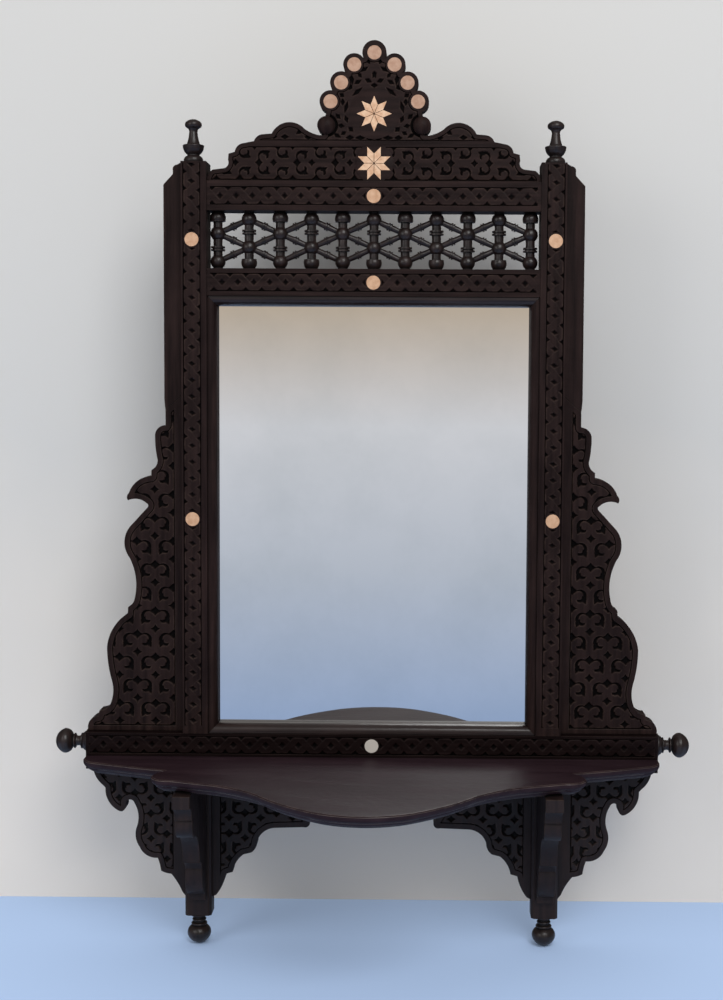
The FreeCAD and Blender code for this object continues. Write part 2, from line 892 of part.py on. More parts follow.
def edge_board():
    """Right-hand plain board beside the upper stile, scarfed to the wing."""
    high = stile_top + edge_board_top
    low = bottom_rail_top + wing_height - wing_scarf_drop
    height = high - low
    foot = edge_board_ease_shares + (wing_scarf_width / edge_board_width, 0.0)
    steps = edge_board_shares + [foot, (0.0, wing_scarf_drop / height)]
    face = outline(steps, lambda x, z: at(stile_outer + x * edge_board_width, 0, low + z * height))
    return board(face, edge_board_depth)


def wing():
    """Right-hand carved wing with its sunk field and a plain strip along the stile."""
    scarf = (wing_scarf_width / wing_width, 1 - wing_scarf_drop / wing_height)
    face = outline(
        wing_shares + [scarf, (0.0, 1.0)],
        lambda x, z: at(stile_outer + x * wing_width, 0, bottom_rail_top + z * wing_height),
    )
    body = board(face, wing_depth)
    high = bottom_rail_top + wing_height
    strip = slab(stile_outer, stile_outer + wing_strip, 0, wing_depth + 2 * overrun, bottom_rail_top, high)
    return body.cut(sunk_field(body, wing_depth, wing_border, wing_sink).cut(strip))


def shelf():
    """Serpentine shelf with a moulded edge and a tongue at the back."""
    depth_back = rail_depth - shelf_edge - shelf_corner - overrun
    half = shelf_half_shares
    front = [(0.0, shelf_front_share, -half[-1][-2], half[-1][-1])]
    left = both_halves(half)[len(half):]
    steps = half + front + left

    def place(x, depth):
        held = rail_depth + depth * shelf_reach if depth else depth_back
        return at(x * (rail_half + shelf_corner), held, 0)

    plan = outline(steps, place)
    layers = []
    for upper, lower in zip(shelf_edge_shares[:-1], shelf_edge_shares[1:]):
        wires = []
        for inset_share, drop_share in (upper, lower):
            wire = plan.makeOffset2D(-shelf_corner - inset_share * shelf_edge).Wires[0]
            wire.translate(at(0, 0, shelf_top - drop_share * shelf_thickness))
            wires.append(wire)
        layers.append(Part.makeLoft(wires, True, True))
    body = layers[0].fuse(layers[1:])
    behind = slab(-rail_half - overrun, rail_half + overrun, 0, rail_depth, shelf_bottom - overrun,
                  shelf_top + overrun)
    return body.cut(behind).fuse(shelf_tongue_block(0)).removeSplitter()


def post():
    """Right-hand post under the bottom rail."""
    low = shelf_bottom - post_drop
    half = post_width / 2
    plan = [
        (-half, 0),
        (half, 0),
        (half, post_depth - post_chamfer),
        (half - post_chamfer, post_depth),
        (post_chamfer - half, post_depth),
        (-half, post_depth - post_chamfer),
    ]
    face = outline(plan, lambda x, depth: at(post_axis + x, depth, low))
    body = face.extrude(at(0, 0, post_drop)).fuse(post_tenon(0))
    high = low + turned_peg_length + glue_gap
    socket = rod(post_axis, pendant_axis, turned_peg_radius + glue_gap, low - overrun, high)
    return body.cut(socket).removeSplitter()


def bracket():
    """Right-hand scalloped bracket between the post and the shelf."""
    low = shelf_bottom - bracket_drop
    face = outline(
        bracket_shares,
        lambda out, rise: at(
            post_axis - bracket_thickness / 2,
            post_depth + out * bracket_reach,
            low + rise * bracket_drop,
        ),
    )
    return face.extrude(FreeCAD.Vector(bracket_thickness, 0, 0))


def apron(shares, side, width, strip):
    """A carved apron on one side of the right-hand post, with a plain strip along the post."""
    edge = post_axis + side * post_width / 2
    low = shelf_bottom - apron_height
    face = outline(shares, lambda x, z: at(edge + side * x * width, 0, low + z * apron_height))
    body = board(face, apron_depth)
    far = edge + side * strip
    plain = slab(min(edge, far), max(edge, far), 0, apron_depth + 2 * overrun, low, shelf_bottom)
    return body.cut(sunk_field(body, apron_depth, apron_border, apron_sink).cut(plain))


def pendant():
    """Right-hand turned pendant, pegged into the post."""
    body = turned(pendant_shares, pendant_radius, pendant_height)
    body = body.fuse(rod(0, 0, turned_peg_radius, -turned_peg_length, 0))
    body.rotate(at(0, 0, 0), FreeCAD.Vector(1, 0, 0), full_turn / 2)
    body.translate(at(post_axis, pendant_axis, shelf_bottom - post_drop))
    return body.removeSplitter()


def knob():
    """Right-hand turned knob on the end of the bottom rail."""
    body = turned(knob_shares, knob_radius, knob_length)
    body = body.fuse(rod(0, 0, turned_peg_radius, -turned_peg_length, 0))
    body.rotate(at(0, 0, 0), FreeCAD.Vector(0, 1, 0), full_turn / 4)
    body.translate(at(rail_half, rail_depth / 2, bottom_band_middle))
    return body.removeSplitter()


def spindle_body():
    """A spindle that stands on Z zero with its cap down, turned, with a tenon at each end."""
    near, far = (lattice_height * share for share in (middle_bead_share, end_bead_share))
    rings = lattice_height * ring_share
    half_ring = ring_thickness + ring_groove / 2
    wall = math.sqrt(bead_radius**2 - spindle_neck**2)
    foot_wall = math.sqrt(bead_radius**2 - spindle_foot**2)
    tenon = spindle_tenon_radius
    steps = [
        (0, -spindle_tenon_length),
        (tenon, -spindle_tenon_length),
        (tenon, 0),
        (spindle_foot, 0),
        ((spindle_foot + cap_radius) / 2 + overrun, cap_crown, cap_radius, cap_height - overrun),
        (cap_radius, cap_height),
        (spindle_neck, cap_height),
        (spindle_neck, near - wall),
        (bead_radius, near, spindle_neck, near + wall),
        (spindle_neck, rings - half_ring),
        (ring_radius, rings - half_ring),
        (ring_radius, rings - ring_groove / 2),
        (ring_groove_radius, rings - ring_groove / 2),
        (ring_groove_radius, rings + ring_groove / 2),
        (ring_radius, rings + ring_groove / 2),
        (ring_radius, rings + half_ring),
        (spindle_neck, rings + half_ring),
        (spindle_neck, far - wall),
        (bead_radius, far, spindle_foot, far + foot_wall),
        (spindle_foot, lattice_height),
        (tenon, lattice_height),
        (tenon, lattice_height + spindle_tenon_length),
        (0, lattice_height + spindle_tenon_length),
    ]
    return revolved(steps)


def rung_ends():
    """Row and the two bead centres of each rung between neighbouring spindles."""
    ends = []
    places = spindle_places()
    for (x0, flip0), (x1, flip1) in zip(places[:-1], places[1:]):
        lower0, upper0 = bead_places(flip0)
        lower1, upper1 = bead_places(flip1)
        crossing = (upper1, lower0) if flip0 else (lower1, upper0)
        ends.append(("upper", at(x0, lattice_axis, upper0), at(x1, lattice_axis, upper1)))
        ends.append(("lower", at(x0, lattice_axis, lower0), at(x1, lattice_axis, lower1)))
        ends.append(("middle", at(x0, lattice_axis, crossing[1]), at(x1, lattice_axis, crossing[0])))
    return ends


def bead_places(upside_down):
    """Heights of a spindle's two beads, the lower one first."""
    return [top_rail_bottom - drop for drop in reversed(bead_heights[upside_down])]


def rung(start, end):
    """A turned rung that reaches from bead to bead, with a peg in each."""
    along = end - start
    shoulder = bead_radius - rung_seat
    length = along.Length - 2 * shoulder
    middle = length / 2
    ring = rung_ring_thickness + rung_ring_groove / 2
    steps = [
        (0, -rung_tenon_length),
        (rung_tenon_radius, -rung_tenon_length),
        (rung_tenon_radius, 0),
        (rung_end, 0),
        (rung_belly, middle - ring),
        (rung_ring, middle - ring),
        (rung_ring, middle - rung_ring_groove / 2),
        (rung_belly, middle - rung_ring_groove / 2),
        (rung_belly, middle + rung_ring_groove / 2),
        (rung_ring, middle + rung_ring_groove / 2),
        (rung_ring, middle + ring),
        (rung_belly, middle + ring),
        (rung_end, length),
        (rung_tenon_radius, length),
        (rung_tenon_radius, length + rung_tenon_length),
        (0, length + rung_tenon_length),
    ]
    body = revolved(steps)
    turn = FreeCAD.Rotation(FreeCAD.Vector(0, 0, 1), along)
    body.Placement = FreeCAD.Placement(start + along * (shoulder / along.Length), turn)
    return body


def rung_socket(bead, other):
    """The hole in a bead that a rung's peg enters, and the flat seat for its shoulder."""
    along = (other - bead).normalize()
    shoulder = bead_radius - rung_seat - glue_gap
    bottom = bead + along * (shoulder - rung_tenon_length)
    hole = Part.makeCylinder(rung_tenon_radius + glue_gap, rung_tenon_length + overrun, bottom, along)
    seat = Part.makeCylinder(rung_end + glue_gap, rung_seat + overrun, bead + along * shoulder, along)
    return hole.fuse(seat)


def lattice():
    """The spindles, with sockets in their beads, and the three rows of rungs."""
    rows = {"upper": [], "middle": [], "lower": []}
    sockets = {}
    for row, start, end in rung_ends():
        rows[row].append(rung(start, end))
        sockets.setdefault(start.x, []).append(rung_socket(start, end))
        sockets.setdefault(end.x, []).append(rung_socket(end, start))
    for number, (x, upside_down) in enumerate(spindle_places(), start=1):
        body = spindle_body()
        if upside_down:
            body.translate(at(x, lattice_axis, middle_rail_top))
        else:
            body.rotate(at(0, 0, 0), FreeCAD.Vector(1, 0, 0), full_turn / 2)
            body.translate(at(x, lattice_axis, top_rail_bottom))
        pieces["lattice_spindle_%02d" % number] = body.cut(sockets[x])
    for row, rungs in rows.items():
        pieces["lattice_rungs_" + row] = Part.makeCompound(rungs)


def pane(back, thickness):
    """A pane that fills the frame behind the sight moulding."""
    half = frame_half - pane_clearance
    low = bottom_rail_top + pane_clearance
    return slab(-half, half, back, back + thickness, low, middle_rail_bottom - pane_clearance)


def button(x, z, turn):
    """A brass turn button on its pivot, with its long end over the backboard."""
    half = button_width / 2
    back = ledge_depth - button_gap - button_thickness
    front = back + button_thickness
    body = peg(0, 0, half, back, front)
    body = body.fuse([slab(0, button_reach - half, back, front, -half, half),
                      peg(button_reach - half, 0, half, back, front)]).removeSplitter()
    body = body.cut(peg(0, 0, button_screw_radius + pivot_gap, back - overrun, front + overrun))
    body.rotate(at(0, 0, 0), FreeCAD.Vector(0, 1, 0), turn)
    body.translate(at(x, 0, z))
    return body


def button_screw(x, z):
    """The screw that a button turns on."""
    under_head = ledge_depth - 2 * button_gap - button_thickness
    shank = peg(x, z, button_screw_radius, under_head, ledge_depth + button_screw_length)
    head = Part.makeCone(
        button_head_radius,
        button_screw_radius,
        button_head_height,
        at(x, under_head, z),
        at(0, -1, 0),
    )
    return shank.fuse(head).removeSplitter()


def buttons():
    """The six turn buttons and their screws."""
    screws = []
    for name, x, z, turn in button_places():
        pieces["turn_button_" + name] = button(x, z, turn)
        screws.append(button_screw(x, z))
    pieces["button_screws"] = Part.makeCompound(screws)


def countersunk(z, gap, length):
    """A countersunk screw behind the right-hand stile, or its hole in the hanger plate."""
    radius = hanger_screw_radius + gap
    shank = peg(stile_middle, z, radius, 0, length)
    head = Part.makeCone(
        hanger_head_radius + gap,
        radius,
        hanger_thickness,
        at(stile_middle, 0, z),
        at(0, 1, 0),
    )
    return shank.fuse(head)


def hanger_plate():
    """Right-hand keyhole hanger, flush with the back of the stile."""
    half = hanger_width / 2
    rise = hanger_height / 2
    body = slab(stile_middle - half, stile_middle + half, 0, hanger_thickness, -rise, rise)
    through = hanger_thickness + overrun
    keyhole = peg(stile_middle, 0, keyhole_radius, -overrun, through)
    slot = slab(stile_middle - keyslot_radius, stile_middle + keyslot_radius, -overrun, through, 0,
                keyslot_rise)
    slot_end = peg(stile_middle, keyslot_rise, keyslot_radius, -overrun, through)
    holes = [countersunk(side * hanger_screw_offset, glue_gap, through) for side in (-1, 1)]
    return body.cut([keyhole, slot, slot_end] + holes).removeSplitter()


def hanger_screws():
    """The four screws of the two hangers."""
    length = hanger_thickness + hanger_screw_length
    right = [countersunk(side * hanger_screw_offset, 0, length).removeSplitter() for side in (-1, 1)]
    return Part.makeCompound(right + [mirrored(screw) for screw in right])


def discs(places):
    """Bone discs at the given X, heights and face depths."""
    return Part.makeCompound(
        [peg(x, z, disc_radius, depth - disc_seat, depth) for x, z, depth in places]
    )


def keep_pair(name, right):
    """Keep a right-hand piece and its left-hand twin."""
    pieces[name + "_right"] = right
    pieces[name + "_left"] = mirrored(right)


def build():
    """Make every piece."""
    pieces["top_rail"] = top_rail()
    pieces["middle_rail"] = middle_rail()
    pieces["bottom_rail"] = bottom_rail()
    pieces["crest_board"] = crest_board()
    pieces["shelf"] = shelf()
    keep_pair("stile", stile())
    keep_pair("edge_board", edge_board())
    keep_pair("wing", wing())
    keep_pair("finial", finial())
    boss = crest_boss()
    pieces["crest_bosses"] = Part.makeCompound([boss, mirrored(boss)])
    keep_pair("post", post())
    keep_pair("bracket", bracket())
    keep_pair("apron_outer", apron(outer_apron_shares, 1, outer_apron_width, outer_apron_strip))
    keep_pair("apron_inner", apron(inner_apron_shares, -1, inner_apron_width, inner_apron_strip))
    keep_pair("pendant", pendant())
    keep_pair("rail_knob", knob())
    sight_mouldings()
    lattice()
    pieces["mirror_glass"] = pane(moulding_back - glass_thickness, glass_thickness)
    pieces["backboard"] = pane(ledge_depth, backboard_thickness)
    buttons()
    keep_pair("hanger_plate", hanger_plate())
    pieces["hanger_screws"] = hanger_screws()
    pieces["crest_discs"] = discs([(x, z, crest_front) for x, z in lobe_places()])
    pieces["frame_discs"] = discs(disc_places())
    for name, height, turn, _ in star_places():
        pieces[name] = star_rhombi(height, turn)


build()
os.makedirs("parts", exist_ok=True)
for name, shape in pieces.items():
    shape.exportStep("parts/%s.step" % name)
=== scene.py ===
"""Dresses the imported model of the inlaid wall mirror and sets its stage.

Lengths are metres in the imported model's frame: X to the right, Y from the front
towards the wall, Z up. A depth is a distance from the wall towards the front, so
it is minus Y.
"""

import logging
import math
from dataclasses import dataclass, field
from enum import Enum
from typing import Optional, Protocol

import bmesh
import bpy
import numpy as np
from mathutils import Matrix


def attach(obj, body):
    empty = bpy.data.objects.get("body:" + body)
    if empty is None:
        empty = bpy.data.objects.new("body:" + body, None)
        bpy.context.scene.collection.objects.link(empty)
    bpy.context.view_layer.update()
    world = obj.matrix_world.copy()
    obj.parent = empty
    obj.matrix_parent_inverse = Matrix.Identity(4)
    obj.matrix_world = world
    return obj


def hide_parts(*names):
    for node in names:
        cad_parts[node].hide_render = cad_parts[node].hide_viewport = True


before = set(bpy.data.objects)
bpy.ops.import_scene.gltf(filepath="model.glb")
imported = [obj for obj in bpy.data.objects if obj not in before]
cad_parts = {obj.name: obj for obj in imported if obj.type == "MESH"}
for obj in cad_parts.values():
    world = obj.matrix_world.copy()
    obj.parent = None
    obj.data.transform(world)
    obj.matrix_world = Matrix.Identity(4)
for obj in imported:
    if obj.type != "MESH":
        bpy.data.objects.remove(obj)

LOG = logging.getLogger("inlaid_mirror")
MM = 0.001
SIDES = ("left", "right")
MERGE_GAP = 2e-6
FLAT_ANGLE = 0.004
SMOOTH_ANGLE = math.radians(34.0)
ROUNDED_ANGLE = math.radians(28.0)
Colour = tuple[float, float, float]


class Grain(Enum):
    """Which way the grain of a board runs, as noise scales along X, Y and Z."""

    LEVEL = (9.0, 150.0, 150.0)
    UPRIGHT = (150.0, 150.0, 9.0)


class Graph:
    """A node tree with short calls that add a node and fill its sockets."""

    def __init__(self, tree: bpy.types.NodeTree) -> None:
        """Start from an empty tree.

        Args:
            tree: the material's or the world's node tree.
        """
        self.tree = tree
        tree.nodes.clear()

    def add(self, kind: str, sockets: Optional[dict] = None, **settings: object) -> bpy.types.Node:
        """Add one node.

        Args:
            kind: the node's type name.
            sockets: input name or index to a value or to an output socket.
            settings: attributes of the node.

        Returns:
            The new node.
        """
        node = self.tree.nodes.new(kind)
        for name, value in settings.items():
            setattr(node, name, value)
        for name, value in (sockets or {}).items():
            if isinstance(value, bpy.types.NodeSocket):
                self.tree.links.new(value, node.inputs[name])
            else:
                node.inputs[name].default_value = value
        return node

    def noise(self, vector: bpy.types.NodeSocket, scale: float, detail: float = 4.0) -> bpy.types.NodeSocket:
        """A noise value from 0 to 1.

        Args:
            vector: the coordinates.
            scale: waves per metre.
            detail: octaves.

        Returns:
            The value's socket.
        """
        sockets = {"Vector": vector, "Scale": scale, "Detail": detail, "Roughness": 0.6}
        return self.add("ShaderNodeTexNoise", sockets).outputs[0]

    def ramp(self, value: bpy.types.NodeSocket, *stops: tuple[float, Colour]) -> bpy.types.NodeSocket:
        """A colour from a value.

        Args:
            value: the position on the ramp.
            stops: position and colour of each stop, in order.

        Returns:
            The colour's socket.
        """
        node = self.add("ShaderNodeValToRGB", {"Fac": value})
        elements = node.color_ramp.elements
        while len(elements) < len(stops):
            elements.new(1.0)
        for element, (position, colour) in zip(elements, stops):
            element.position = position
            element.color = (*colour, 1.0)
        return node.outputs[0]

    def mix(self, factor: bpy.types.NodeSocket, first: object, second: object) -> bpy.types.NodeSocket:
        """A blend of two colours.

        Args:
            factor: 0 gives the first and 1 the second.
            first: a colour or a socket.
            second: a colour or a socket.

        Returns:
            The blended colour's socket.
        """
        def whole(colour: object) -> object:
            """Give a plain colour its alpha."""
            return colour if isinstance(colour, bpy.types.NodeSocket) else (*colour, 1.0)

        sockets = {0: factor, 6: whole(first), 7: whole(second)}
        return self.add("ShaderNodeMix", sockets, data_type="RGBA").outputs[2]

    def span(self, value: bpy.types.NodeSocket, source: tuple[float, float],
             target: tuple[float, float]) -> bpy.types.NodeSocket:
        """A value carried from one range to another, held at the ends.

        Args:
            value: the value.
            source: the range it comes from.
            target: the range it goes to.

        Returns:
            The new value's socket.
        """
        sockets = {0: value, 1: source[0], 2: source[1], 3: target[0], 4: target[1]}
        return self.add("ShaderNodeMapRange", sockets).outputs[0]

    def sums(self, operation: str, first: object, second: object) -> bpy.types.NodeSocket:
        """One arithmetic step.

        Args:
            operation: the step's name, such as ADD.
            first: a number or a socket.
            second: a number or a socket.

        Returns:
            The result's socket.
        """
        return self.add("ShaderNodeMath", {0: first, 1: second}, operation=operation).outputs[0]


class Finish(Protocol):
    """Anything that can make its material."""

    name: str

    def material(self) -> bpy.types.Material:
        """Make the finish's material, or return it where it is made already."""


def new_material(name: str) -> tuple[Graph, bpy.types.Material]:
    """An empty node material.

    Args:
        name: the material's name.

    Returns:
        Its node graph and the material.
    """
    made = bpy.data.materials.new(name)
    made.use_nodes = True
    return Graph(made.node_tree), made


def close_material(graph: Graph, sockets: dict) -> None:
    """Join a principled shader to the material's output.

    Args:
        graph: the material's graph.
        sockets: the shader's inputs.
    """
    shader = graph.add("ShaderNodeBsdfPrincipled", sockets)
    graph.add("ShaderNodeOutputMaterial", {"Surface": shader.outputs[0]})


@dataclass(frozen=True)
class WoodFinish:
    """Old dark wood: streaks along the grain, rubbed edges, and grime together with painted shade in hollows and
    joints, darkened by ambient occlusion and by the carving's depth.
    """

    name: str
    grain: Grain
    deep: Colour = (0.0080, 0.0040, 0.0038)
    pale: Colour = (0.0250, 0.0135, 0.0122)
    rubbed: Colour = (0.046, 0.029, 0.023)
    # The near-black that hollows and joints are darkened to: grime and painted shade together.
    dirt_and_shade: Colour = (0.0016, 0.0010, 0.0010)
    sheen: tuple[float, float] = (0.40, 0.62)
    specular: float = 0.07
    # Ambient occlusion range that darkens hollows and joints: painted shade, partly grime.
    grime_and_shade: tuple[float, float] = (0.25, 0.72)

    def material(self) -> bpy.types.Material:
        """Make the wood, or return it where it is made already.

        Returns:
            The material.
        """
        known = bpy.data.materials.get(self.name)
        if known:
            return known
        graph, made = new_material(self.name)
        place = graph.add("ShaderNodeTexCoord").outputs["Object"]
        along = graph.add("ShaderNodeMapping", {"Vector": place, "Scale": self.grain.value}).outputs[0]
        streaks = graph.noise(along, 1.0, 7.0)
        patches = graph.noise(place, 22.0, 3.0)
        pores = graph.noise(along, 4.0, 2.0)
        recess_shade_and_grime = graph.add("ShaderNodeAttribute", attribute_name="recess_shade_and_grime").outputs["Fac"]
        rub = graph.add("ShaderNodeAttribute", attribute_name="rub").outputs["Fac"]
        colour = graph.ramp(streaks, (0.34, self.deep), (0.68, self.pale))
        tint = graph.span(patches, (0.35, 0.75), (0.0, 0.6))
        colour = graph.mix(tint, colour, self.deep)
        spots = graph.noise(place, 110.0, 3.0)
        worn = graph.sums("MULTIPLY", rub, graph.span(spots, (0.42, 0.66), (0.05, 0.6)))
        colour = graph.mix(worn, colour, self.rubbed)
        # Painted shade, partly grime: ambient occlusion and the carving's depth darken the colour in hollows,
        # creases and joints, where shade falls.
        hollow = graph.add("ShaderNodeAmbientOcclusion", {"Distance": 4.0 * MM}, samples=6).outputs["AO"]
        grime_and_shade = graph.sums("MAXIMUM", recess_shade_and_grime, graph.span(hollow, self.grime_and_shade, (1.0, 0.0)))
        colour = graph.mix(grime_and_shade, colour, self.dirt_and_shade)
        rough = graph.span(streaks, (0.3, 0.7), self.sheen)
        rough = graph.sums("ADD", rough, graph.sums("MULTIPLY", grime_and_shade, 0.35))
        uneven = graph.add("ShaderNodeBump", {"Strength": 0.5, "Distance": 0.6 * MM, "Height": spots}).outputs[0]
        bump = graph.add("ShaderNodeBump", {
            "Strength": 0.4, "Distance": 0.25 * MM, "Height": pores, "Normal": uneven})
        close_material(graph, {
            "Base Color": colour,
            "Roughness": rough,
            "Normal": bump.outputs[0],
            "Specular IOR Level": self.specular,
        })
        return made


@dataclass(frozen=True)
class BoneFinish:
    """Aged bone: peach cream, mottled, with fine dark pores, and bleached where it sits low on the part."""

    name: str = "aged_bone"
    cream: Colour = (0.66, 0.44, 0.29)
    peach: Colour = (0.53, 0.30, 0.175)
    pore: Colour = (0.30, 0.16, 0.09)
    bleached: Colour = (0.50, 0.46, 0.42)
    bleached_below: float = -0.52

    def material(self) -> bpy.types.Material:
        """Make the bone, or return it where it is made already.

        Returns:
            The material.
        """
        known = bpy.data.materials.get(self.name)
        if known:
            return known
        graph, made = new_material(self.name)
        place = graph.add("ShaderNodeTexCoord").outputs["Object"]
        clouds = graph.noise(place, 190.0, 4.0)
        specks = graph.noise(place, 1300.0, 2.0)
        colour = graph.ramp(clouds, (0.36, self.peach), (0.62, self.cream))
        height = graph.add("ShaderNodeSeparateXYZ", {0: place}).outputs[2]
        low = graph.sums("LESS_THAN", height, self.bleached_below)
        colour = graph.mix(low, colour, self.bleached)
        colour = graph.mix(graph.span(specks, (0.62, 0.78), (0.0, 0.55)), colour, self.pore)
        bump = graph.add("ShaderNodeBump", {"Strength": 0.25, "Distance": 0.1 * MM, "Height": specks})
        close_material(graph, {
            "Base Color": colour,
            "Roughness": graph.span(clouds, (0.3, 0.7), (0.38, 0.58)),
            "Normal": bump.outputs[0],
            "Specular IOR Level": 0.4,
        })
        return made


@dataclass(frozen=True)
class MetalFinish:
    """A bright metal with patches of tarnish."""

    name: str
    bright: Colour
    tarnish: Colour
    rough: tuple[float, float]
    patch: float

    def material(self) -> bpy.types.Material:
        """Make the metal, or return it where it is made already.

        Returns:
            The material.
        """
        known = bpy.data.materials.get(self.name)
        if known:
            return known
        graph, made = new_material(self.name)
        place = graph.add("ShaderNodeTexCoord").outputs["Object"]
        clouds = graph.noise(place, self.patch, 5.0)
        close_material(graph, {
            "Base Color": graph.ramp(clouds, (0.38, self.bright), (0.72, self.tarnish)),
            "Roughness": graph.span(clouds, (0.35, 0.75), self.rough),
            "Metallic": 1.0,
        })
        return made


@dataclass(frozen=True)
class PlasterFinish:
    """Pale plaster that goes from one colour below to another above, with a faint cloudiness.

    A backdrop is there for the camera alone, from its front, so that it neither lights the
    object nor stands before its back.
    """

    name: str
    low: Colour
    high: Colour
    reach: tuple[float, float] = (-0.75, -0.20)
    backdrop: bool = False

    def material(self) -> bpy.types.Material:
        """Make the plaster.

        Returns:
            The material.
        """
        graph, made = new_material(self.name)
        place = graph.add("ShaderNodeTexCoord").outputs["Object"]
        height = graph.add("ShaderNodeSeparateXYZ", {0: place}).outputs[2]
        clouds = graph.noise(place, 6.0, 2.0)
        height = graph.sums("ADD", height, graph.span(clouds, (0.2, 0.8), (-0.05, 0.05)))
        colour = graph.ramp(graph.span(height, self.reach, (0.0, 1.0)), (0.0, self.low), (1.0, self.high))
        shader = graph.add("ShaderNodeBsdfDiffuse", {"Color": colour}).outputs[0]
        if self.backdrop:
            camera = graph.add("ShaderNodeLightPath").outputs["Is Camera Ray"]
            back = graph.add("ShaderNodeNewGeometry").outputs["Backfacing"]
            shown = graph.sums("MULTIPLY", camera, graph.sums("SUBTRACT", 1.0, back))
            clear = graph.add("ShaderNodeBsdfTransparent").outputs[0]
            shader = graph.add("ShaderNodeMixShader", {0: shown, 1: clear, 2: shader}).outputs[0]
        graph.add("ShaderNodeOutputMaterial", {"Surface": shader})
        return made


UPRIGHT_WOOD = WoodFinish("dark_wood_upright", Grain.UPRIGHT)
LOWER_WOOD = WoodFinish("dark_wood_lower", Grain.UPRIGHT, specular=0.22)
LEVEL_WOOD = WoodFinish("dark_wood_level", Grain.LEVEL)
# Painted shade: a darker copy of the level wood for the bottom rail, which lies in the shade of the shelf.
SHADED_WOOD = WoodFinish(
    "dark_wood_shaded", Grain.LEVEL, deep=(0.0040, 0.0018, 0.0019), pale=(0.0105, 0.0052, 0.0052),
    rubbed=(0.022, 0.013, 0.012), specular=0.05)
TURNED_WOOD = WoodFinish(
    "dark_wood_turned", Grain.UPRIGHT, deep=(0.0075, 0.0050, 0.0048), sheen=(0.28, 0.40), specular=0.34,
    grime_and_shade=(0.38, 0.92))
MOULDED_WOOD = WoodFinish("dark_wood_moulded", Grain.LEVEL, sheen=(0.26, 0.36), specular=0.36)
SHELF_WOOD = WoodFinish(
    "dark_wood_shelf", Grain.LEVEL, deep=(0.0145, 0.0072, 0.0098), pale=(0.030, 0.0165, 0.0210),
    sheen=(0.45, 0.56), specular=0.08)
EDGE_UPRIGHT = WoodFinish(
    "rubbed_edge_upright", Grain.UPRIGHT, deep=(0.014, 0.0090, 0.0080), pale=(0.044, 0.029, 0.024))
EDGE_LEVEL = WoodFinish(
    "rubbed_edge_level", Grain.LEVEL, deep=(0.014, 0.0090, 0.0080), pale=(0.044, 0.029, 0.024))
EDGE_SHELF = WoodFinish(
    "rubbed_edge_shelf", Grain.LEVEL, deep=(0.036, 0.026, 0.021), pale=(0.170, 0.126, 0.086),
    sheen=(0.24, 0.34), specular=0.9)
BACK_WOOD = WoodFinish(
    "thin_backboard", Grain.LEVEL, deep=(0.085, 0.052, 0.030), pale=(0.19, 0.125, 0.075), sheen=(0.65, 0.85))
BONE = BoneFinish()
FRAME_BONE = BoneFinish("aged_bone_frame", cream=(0.56, 0.345, 0.215), peach=(0.46, 0.255, 0.145))
CREST_BONE = BoneFinish("aged_bone_crest", cream=(0.43, 0.265, 0.185), peach=(0.35, 0.195, 0.125))
SILVER = MetalFinish("silvered_glass", (0.90, 0.91, 0.91), (0.80, 0.82, 0.82), (0.012, 0.035), 7.0)
FLOOR = PlasterFinish("pale_floor", (0.50, 0.66, 0.95), (0.50, 0.66, 0.95))
# Painted light: the wall is warmer and brighter low down, standing in for the warm light that falls on the lower
# wall under the shelf.
WALL = PlasterFinish("pale_wall", (0.78, 0.72, 0.65), (0.59, 0.585, 0.575), backdrop=True)
BRASS = MetalFinish("aged_brass", (0.62, 0.42, 0.17), (0.24, 0.15, 0.065), (0.26, 0.52), 220.0)


def show(name: str, mesh: bpy.types.Mesh, slot: str, *finishes: Finish) -> bpy.types.Object:
    """Put a mesh of the carcass into the scene.

    Args:
        name: the piece's name.
        mesh: its mesh, already in place.
        slot: the record's material slot, which is not used.
        finishes: its materials, in order.

    Returns:
        The new object, riding on the frame.
    """
    piece = bpy.data.objects.new(name, mesh)
    bpy.context.scene.collection.objects.link(piece)
    for finish in finishes:
        mesh.materials.append(finish.material())
    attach(piece, "frame")
    LOG.info("%s: %d faces", name, len(mesh.polygons))
    return piece


def paint(node: str, finish: Finish) -> None:
    """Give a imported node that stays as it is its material.

    Args:
        node: the node's name.
        finish: its finish.
    """
    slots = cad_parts[node].data.materials
    slots.clear()
    slots.append(finish.material())
    LOG.info("%s: painted %s", node, finish.name)


def ease(node: str, slot: str, width: float, face: Finish, edge: Finish) -> None:
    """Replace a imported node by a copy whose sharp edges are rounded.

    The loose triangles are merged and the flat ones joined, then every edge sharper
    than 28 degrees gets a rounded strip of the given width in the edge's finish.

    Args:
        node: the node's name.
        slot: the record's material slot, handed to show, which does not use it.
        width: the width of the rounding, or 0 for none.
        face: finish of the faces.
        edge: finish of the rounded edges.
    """
    shape = bmesh.new()
    shape.from_mesh(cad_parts[node].data)
    bmesh.ops.remove_doubles(shape, verts=shape.verts, dist=MERGE_GAP)
    bmesh.ops.dissolve_limit(shape, angle_limit=FLAT_ANGLE, verts=shape.verts, edges=shape.edges)
    mesh = bpy.data.meshes.new(node + "_eased")
    shape.to_mesh(mesh)
    shape.free()
    mesh.materials.clear()
    mesh.polygons.foreach_set("use_smooth", np.ones(len(mesh.polygons), dtype=bool))
    mesh.polygons.foreach_set("material_index", np.zeros(len(mesh.polygons), dtype=np.int32))
    mesh.set_sharp_from_angle(angle=SMOOTH_ANGLE)
    piece = show(node + "_eased", mesh, slot, face, edge)
    if width:
        rounding = piece.modifiers.new("rounding", "BEVEL")
        rounding.limit_method = "ANGLE"
        rounding.angle_limit = ROUNDED_ANGLE
        rounding.width = width
        rounding.segments = 2
        rounding.material = 1
        rounding.harden_normals = True
    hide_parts(node)


